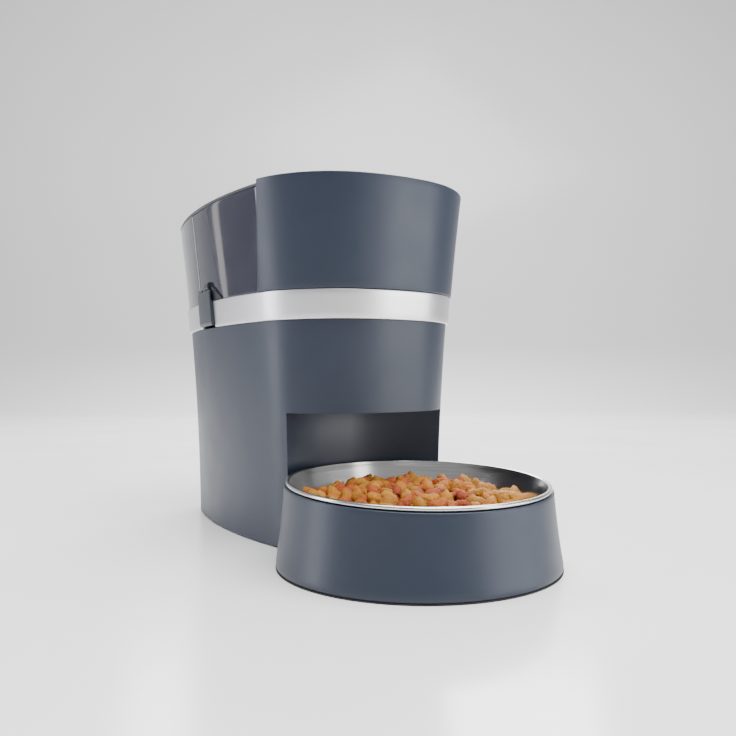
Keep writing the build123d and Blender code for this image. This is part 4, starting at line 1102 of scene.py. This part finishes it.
def with_poles(grid, first_pole, last_pole):
    """A solid from a grid whose columns loop and whose ends close on two points."""
    rows, columns = grid.shape[:2]
    faces = grid_faces(rows, columns, False, True).reshape(-1, 4).tolist()
    column = np.arange(columns)
    ahead = (column + 1) % columns
    count = rows * columns
    faces += np.stack([np.full(columns, count), ahead, column], -1).tolist()
    last = (rows - 1) * columns
    faces += np.stack([np.full(columns, count + 1), last + column, last + ahead], -1).tolist()
    points = np.concatenate([grid.reshape(-1, 3), [first_pole], [last_pole]])
    return points, faces


lid_part = with_poles(lid_grid, (0, 77, LID_PLATE_LOW), (0, 77, LID_TOP))
round_turn = np.radians(np.arange(0, 360, 30))
knuckle_outline = [
    (
        -HINGE_PLACE[0] + KNUCKLE_RADIUS * math.cos(a),
        HINGE_PLACE[1] + KNUCKLE_RADIUS * math.sin(a),
    )
    for a in round_turn
]
neck_outline = [
    (-HINGE_PLACE[0], HINGE_PLACE[1] - 2.1),
    (-LID_REAR_Y + 0.8, HINGE_PLACE[1] - 2.1),
    (-LID_REAR_Y + 0.8, HINGE_PLACE[1] + 2.0),
    (-HINGE_PLACE[0], HINGE_PLACE[1] + 2.0),
]
knuckles = []
for x in (-KNUCKLE_X, KNUCKLE_X):
    low, high = x - KNUCKLE_HALF, x + KNUCKLE_HALF
    knuckles.append(prism(knuckle_outline, (0, -1, 0), low, high, 0.3))
    knuckles.append(prism(neck_outline, (0, -1, 0), low + 0.2, high - 0.2, 0.3))
top_lid = new_object("top_lid", [lid_part, *knuckles], latch_plastic)
top_lid.data.set_sharp_from_angle(angle=math.radians(50))
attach(top_lid, "lid")
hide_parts("lid")

# ==== Bowl stand ====================================================================
# The bowl sits in a round slate stand, a thin-walled tapered moulding with a rounded
# foot. Its top slopes down a little to the front, and has a wide bore for the bowl.
FOOT_RADIUS = 111.4
TOP_RADIUS = 104.4
STAND_HEIGHT = 61.5
STAND_TILT = math.radians(2.3)
STAND_LOW = 1.0
BORE_RADIUS = 101.0
BORE_DEPTH = 10.0
UNDER_BORE_RADIUS = 103.1
FOOT_BORE_RADIUS = 108.9
STAND_ROUNDING = 0.9
WAIST = 0.7

nominal = STAND_HEIGHT - STAND_LOW
stand_points, stand_outward = rounded_section(
    [
        (FOOT_RADIUS, 0),
        (TOP_RADIUS, nominal),
        (BORE_RADIUS, nominal),
        (BORE_RADIUS, nominal - BORE_DEPTH),
        (UNDER_BORE_RADIUS, nominal - BORE_DEPTH - 1.5),
        (FOOT_BORE_RADIUS, 0),
    ],
    STAND_ROUNDING,
)
stand_points = divided(stand_points, stand_outward, 3.5)[0]
level = np.clip(stand_points[:, 1] / nominal, 0, 1)
foot_round = 1.1 * np.clip(1 - stand_points[:, 1] / 3.5, 0, 1) ** 2
stand_u = stand_points[:, 0] - WAIST * 4 * level * (1 - level) - foot_round
stand_angle = np.radians(np.arange(0, 360, 2.0))
stand_x = stand_u[:, None] * np.cos(stand_angle)
stand_y = stand_u[:, None] * np.sin(stand_angle)
top_plane = nominal + math.tan(STAND_TILT) * stand_y
stand_z = STAND_LOW + (stand_points[:, 1] / nominal)[:, None] * top_plane
stand_grid = np.stack([stand_x, BOWL_Y + stand_y, stand_z], axis=-1)
stand_shell = new_object("stand_shell", [closed_part(stand_grid, True)], slate_plastic)
stand_shell.data.set_sharp_from_angle(angle=math.radians(60))
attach(stand_shell, "stand")
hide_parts("bowl_stand")

# ==== Steel bowl ====================================================================
# The bowl is spun from one millimetre stainless sheet and hangs in the stand by its
# rolled rim. It is brushed in rings all over.
SHEET = 1.0
BOWL_DEPTH = 42.0
BEAD_RADIUS = 1.7
BEAD_CENTRE = (101.5, 2.0)
WALL_POINT = (96.6, -6.0)
WALL_PULL = (-7.5, -19.0)
FLOOR_POINT = (62.0, -BOWL_DEPTH)
FLOOR_PULL = 26.0

floor_u = np.linspace(1.5, FLOOR_POINT[0], 12)[:-1]
floor_part = np.stack([floor_u, np.full_like(floor_u, -BOWL_DEPTH)], axis=-1)
share = np.linspace(0, 1, 22)[:, None]
bend = (
    np.array(FLOOR_POINT) * (1 - share) ** 3
    + (np.array(FLOOR_POINT) + [FLOOR_PULL, 0]) * 3 * share * (1 - share) ** 2
    + (np.array(WALL_POINT) + WALL_PULL) * 3 * share**2 * (1 - share)
    + np.array(WALL_POINT) * share**3
)
wall_part = np.array([[97.8, -2.6], [98.8, 0.2], [99.4, 1.4]])
inside = np.concatenate([floor_part, bend, wall_part])
direction = np.gradient(inside, axis=0)
direction /= np.linalg.norm(direction, axis=1, keepdims=True)
outside = inside + SHEET * np.stack([direction[:, 1], -direction[:, 0]], axis=-1)
bead_angle = np.radians(np.linspace(-118, 176, 16))
bead = np.array(BEAD_CENTRE) + BEAD_RADIUS * np.stack(
    [np.cos(bead_angle), np.sin(bead_angle)], axis=-1
)
bowl_section = np.concatenate([outside[:-1], bead, inside[::-1][1:]])
bowl_angle = np.radians(np.arange(0, 360, 2.5))
tilt_matrix = np.array(Matrix.Rotation(STAND_TILT, 3, "X"))
bowl_middle = np.array([0.0, BOWL_Y, STAND_HEIGHT])


def in_bowl_frame(points):
    """Tilts points about the bowl's middle and puts them there."""
    return np.asarray(points) @ tilt_matrix.T + bowl_middle


def turned(section, angle):
    """A half section (radius, height) carried round the upright axis."""
    radius, height = section[:, 0][:, None], section[:, 1][:, None]
    x, y, z = np.broadcast_arrays(radius * np.cos(angle), radius * np.sin(angle), height)
    return np.stack([x, y, z], axis=-1)


bowl_points, bowl_faces = with_poles(
    turned(bowl_section, bowl_angle), (0, 0, -BOWL_DEPTH - SHEET), (0, 0, -BOWL_DEPTH)
)

# Ring brushing: fine noise over the distance from the bowl's axis, so its lines run
# round the bowl, with a slow drift along each line.
ring_tree, ring_in, ring_out = new_group(
    "ring_brushing", {"Fineness": 1400.0, "Drift": 9.0, "Axis_Y": 0.0}, ["Height", "Tone"]
)
ring_place = ring_tree.nodes.new("ShaderNodeTexCoord")
ring_split = ring_tree.nodes.new("ShaderNodeSeparateXYZ")
ring_tree.links.new(ring_place.outputs["Object"], ring_split.inputs["Vector"])


def ring_math(operation, first, second):
    """A Math node in the ring group; each input is a socket or a number."""
    node = ring_tree.nodes.new("ShaderNodeMath")
    node.operation = operation
    for socket, value in zip(node.inputs, (first, second)):
        if isinstance(value, (int, float)):
            socket.default_value = value
        else:
            ring_tree.links.new(value, socket)
    return node.outputs["Value"]


ring_y = ring_math("SUBTRACT", ring_split.outputs["Y"], ring_in.outputs["Axis_Y"])
ring_square = ring_math(
    "ADD",
    ring_math("MULTIPLY", ring_split.outputs["X"], ring_split.outputs["X"]),
    ring_math("MULTIPLY", ring_y, ring_y),
)
ring_radius = ring_math("SQRT", ring_square, 0.0)
ring_vector = ring_tree.nodes.new("ShaderNodeCombineXYZ")
drift_x = ring_math("MULTIPLY", ring_split.outputs["X"], ring_in.outputs["Drift"])
drift_y = ring_math("MULTIPLY", ring_y, ring_in.outputs["Drift"])
fine_r = ring_math("MULTIPLY", ring_radius, ring_in.outputs["Fineness"])
fine_z = ring_math("MULTIPLY", ring_split.outputs["Z"], ring_in.outputs["Fineness"])
ring_tree.links.new(ring_math("ADD", fine_r, drift_x), ring_vector.inputs["X"])
ring_tree.links.new(ring_math("ADD", fine_z, drift_y), ring_vector.inputs["Y"])
ring_noise = ring_tree.nodes.new("ShaderNodeTexNoise")
ring_noise.inputs["Scale"].default_value = 1.0
ring_noise.inputs["Detail"].default_value = 4.0
ring_tree.links.new(ring_vector.outputs["Vector"], ring_noise.inputs["Vector"])
ring_tree.links.new(ring_noise.outputs["Fac"], ring_out.inputs["Height"])
ring_tree.links.new(ring_noise.outputs["Fac"], ring_out.inputs["Tone"])

bowl_steel, nodes, links, shader = new_finish("bowl_steel", (0.62, 0.61, 0.59), 0.2, 1.0)
rings = place_group(nodes, ring_tree, Axis_Y=BOWL_Y * MM)
patches = place_group(nodes, cloud_tree, Scale=16.0)
links.new(
    two_colours(
        nodes,
        links,
        spread(nodes, links, rings.outputs["Tone"], 0.0, 1.0),
        (0.52, 0.51, 0.49),
        (0.68, 0.67, 0.65),
    ),
    shader.inputs["Base Color"],
)
links.new(
    spread(nodes, links, patches.outputs["Patch"], 0.16, 0.26), shader.inputs["Roughness"]
)
add_bump(nodes, links, shader, rings.outputs["Height"], 0.00001)

steel_bowl = new_object("steel_bowl", [(in_bowl_frame(bowl_points), bowl_faces)], bowl_steel)
steel_bowl.data.set_sharp_from_angle(angle=math.radians(60))
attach(steel_bowl, "bowl")
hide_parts("bowl")

# ==== Dry food ======================================================================
# A serving of dry food lies in the bowl as a prop of the stage, not a part of the
# feeder: three-lobed biscuits in two layers, a little proud in the middle.
FOOD_SEED = 7
BISCUIT_GAP = 12.6
FOOD_REACH = 88.0
random = np.random.default_rng(FOOD_SEED)
steps = np.arange(-10, 11)
grid_x, grid_y = np.meshgrid(steps * BISCUIT_GAP, steps * BISCUIT_GAP * 0.87)
grid_x = grid_x + (np.arange(len(steps)) % 2)[:, None] * BISCUIT_GAP / 2
place_x = np.concatenate([grid_x.ravel(), grid_x.ravel() + BISCUIT_GAP / 2])
place_y = np.concatenate([grid_y.ravel(), grid_y.ravel() + BISCUIT_GAP / 3])
layer = np.concatenate([np.ones(grid_x.size), np.zeros(grid_x.size)])
place_x = place_x + random.normal(0, 1.9, place_x.size)
place_y = place_y + random.normal(0, 1.9, place_y.size)
reach = np.hypot(place_x, place_y)
limit = np.where(layer > 0, FOOD_REACH, FOOD_REACH - 3)
chosen = reach < limit
place_x, place_y, layer, reach = (a[chosen] for a in (place_x, place_y, layer, reach))
count = len(place_x)
place_z = -15.0 + 6.5 * (1 - (reach / FOOD_REACH) ** 2) + 5.0 * (layer - 1)
place_z = place_z + random.normal(0, 1.3, count)
lobe_angle = np.radians(np.arange(0, 360, 30))
lobe_rise = np.radians(np.linspace(-90, 90, 7))
flat = np.cos(lobe_rise)[:, None]
lobes = 1 + 0.26 * np.cos(3 * lobe_angle)[None, :] * flat**2
biscuit = np.stack(
    [
        lobes * flat * np.cos(lobe_angle),
        lobes * flat * np.sin(lobe_angle),
        0.68 * np.sin(lobe_rise)[:, None] + 0 * lobes,
    ],
    axis=-1,
)
spin = random.normal(size=(count, 4))
spin /= np.linalg.norm(spin, axis=1, keepdims=True)
w, x, y, z = spin.T
turn_table = np.stack(
    [
        np.stack([1 - 2 * (y * y + z * z), 2 * (x * y - w * z), 2 * (x * z + w * y)], -1),
        np.stack([2 * (x * y + w * z), 1 - 2 * (x * x + z * z), 2 * (y * z - w * x)], -1),
        np.stack([2 * (x * z - w * y), 2 * (y * z + w * x), 1 - 2 * (x * x + y * y)], -1),
    ],
    axis=1,
)
size = random.uniform(6.2, 8.8, count)[:, None, None]
dents = 1 + random.normal(0, 0.05, (count, biscuit.shape[0] * biscuit.shape[1], 1))
shapes = biscuit.reshape(1, -1, 3) * size * dents
shapes = np.einsum("nij,nkj->nki", turn_table, shapes)
centres = np.stack([place_x, place_y, place_z], axis=-1)[:, None, :]
food_points = in_bowl_frame((shapes + centres).reshape(-1, 3))
one_faces = grid_faces(len(lobe_rise), len(lobe_angle), False, True).reshape(-1, 4)
per_piece = len(lobe_rise) * len(lobe_angle)
food_faces = (one_faces[None] + (np.arange(count) * per_piece)[:, None, None]).reshape(-1, 4)

dry_food_finish, nodes, links, shader = new_finish("dry_food", (0.4, 0.16, 0.02), 0.62)
shader.inputs["Specular IOR Level"].default_value = 0.25
tint = nodes.new("ShaderNodeAttribute")
tint.attribute_name = "tint"
ramp = nodes.new("ShaderNodeValToRGB")
ramp.color_ramp.elements[0].color = (0.27, 0.045, 0.012, 1)
ramp.color_ramp.elements[1].color = (0.46, 0.23, 0.030, 1)
for position, colour in (
    (0.3, (0.36, 0.085, 0.010, 1)),
    (0.55, (0.44, 0.18, 0.012, 1)),
    (0.8, (0.32, 0.13, 0.008, 1)),
):
    ramp.color_ramp.elements.new(position).color = colour
links.new(tint.outputs["Fac"], ramp.inputs["Fac"])
grain = place_group(nodes, grain_tree, Fineness=900.0, Waviness=260.0)
mottle = nodes.new("ShaderNodeMix")
mottle.data_type = "RGBA"
mottle.blend_type = "MULTIPLY"
mottle.inputs["Factor"].default_value = 0.8
links.new(ramp.outputs["Color"], mottle.inputs["A"])
links.new(
    two_colours(
        nodes,
        links,
        spread(nodes, links, grain.outputs["Fleck"], 0.0, 1.0),
        (0.62, 0.52, 0.45),
        (1.0, 1.0, 1.0),
    ),
    mottle.inputs["B"],
)
links.new(mottle.outputs["Result"], shader.inputs["Base Color"])
add_bump(nodes, links, shader, grain.outputs["Height"], 0.0006)
dry_food = new_object("dry_food", [(food_points, food_faces.tolist())], dry_food_finish)
tints = dry_food.data.attributes.new("tint", "FLOAT", "POINT")
tints.data.foreach_set("value", np.repeat(random.uniform(0, 1, count), per_piece).astype("f"))
weld(dry_food)
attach(dry_food, "bowl")

# ==== Inner parts ===================================================================
# The works inside keep their made shapes: moulded casings and gears, turned shafts,
# plated screws, the circuit board and the back-up cells, each in its own finish.
nylon_white = moulded("nylon_white", (0.70, 0.69, 0.63), (0.80, 0.79, 0.73), 0.45, 900.0)
grey_plastic = moulded("grey_plastic", (0.085, 0.09, 0.10), (0.12, 0.125, 0.135), 0.5)
silicone_vane = moulded("silicone_vane", (0.27, 0.30, 0.32), (0.34, 0.37, 0.39), 0.6, 700.0)
rubber_black = moulded(
    "rubber_black", (0.010, 0.010, 0.010), (0.020, 0.020, 0.020), 0.78, 1100.0, 0.00004
)
chip_black = moulded("chip_black", (0.012, 0.012, 0.014), (0.02, 0.02, 0.022), 0.55)
board_green = moulded(
    "board_green", (0.006, 0.055, 0.022), (0.012, 0.085, 0.035), 0.28, 500.0, 0.000006
)
cell_wrap = moulded("cell_wrap", (0.02, 0.021, 0.024), (0.032, 0.033, 0.036), 0.22, 300.0)
light_pipe = moulded("light_pipe", (0.50, 0.68, 0.74), (0.62, 0.78, 0.83), 0.15, 300.0)


def machined(name, dark, light, roughness, fineness):
    """Turned or plated metal: fine flecks vary its tone and its polish."""
    finish, nodes, links, shader = new_finish(name, dark, roughness, 1.0)
    grain = place_group(nodes, grain_tree, Fineness=fineness)
    mask = spread(nodes, links, grain.outputs["Fleck"], 0.0, 1.0)
    links.new(two_colours(nodes, links, mask, dark, light), shader.inputs["Base Color"])
    links.new(
        spread(nodes, links, grain.outputs["Fleck"], roughness - 0.05, roughness + 0.07),
        shader.inputs["Roughness"],
    )
    return finish


steel_part = machined("steel_part", (0.48, 0.48, 0.48), (0.60, 0.60, 0.60), 0.25, 1800.0)
zinc_screw = machined("zinc_screw", (0.42, 0.43, 0.45), (0.55, 0.56, 0.58), 0.35, 2500.0)
brass_contact = machined("brass_contact", (0.62, 0.47, 0.19), (0.75, 0.60, 0.28), 0.28, 1500.0)

INNER_FINISHES = {
    "base_plate": black_plastic,
    "base_screws": zinc_screw,
    "base_feet": rubber_black,
    "latch_pins": steel_part,
    "dispenser_casing": grey_plastic,
    "casing_screws": zinc_screw,
    "throat_seal": rubber_black,
    "chute_nozzle": black_plastic,
    "chute_sensors": black_plastic,
    "shaft_bushes": nylon_white,
    "gear_case": grey_plastic,
    "gearmotor_box": grey_plastic,
    "motor_can": steel_part,
    "control_board": board_green,
    "board_screws": zinc_screw,
    "board_parts": chip_black,
    "button_switch": chip_black,
    "button_bezel": silver_trim,
    "status_light": light_pipe,
    "power_jack": black_plastic,
    "battery_tray": black_plastic,
    "battery_cells": cell_wrap,
    "battery_contacts": brass_contact,
    "paddle_wheel": silicone_vane,
    "wheel_shaft": steel_part,
    "wheel_gear": nylon_white,
    "motor_pinion": nylon_white,
    "pinion_shaft": steel_part,
    "hopper_funnel": black_plastic,
    "hinge_rail": slate_plastic,
    "lid_hinge_pins": steel_part,
    "lid_gasket": rubber_black,
    "feed_button": black_plastic,
    "stand_ring": rubber_black,
}
for node, finish in INNER_FINISHES.items():
    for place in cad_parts[node].material_slots:
        place.material = finish
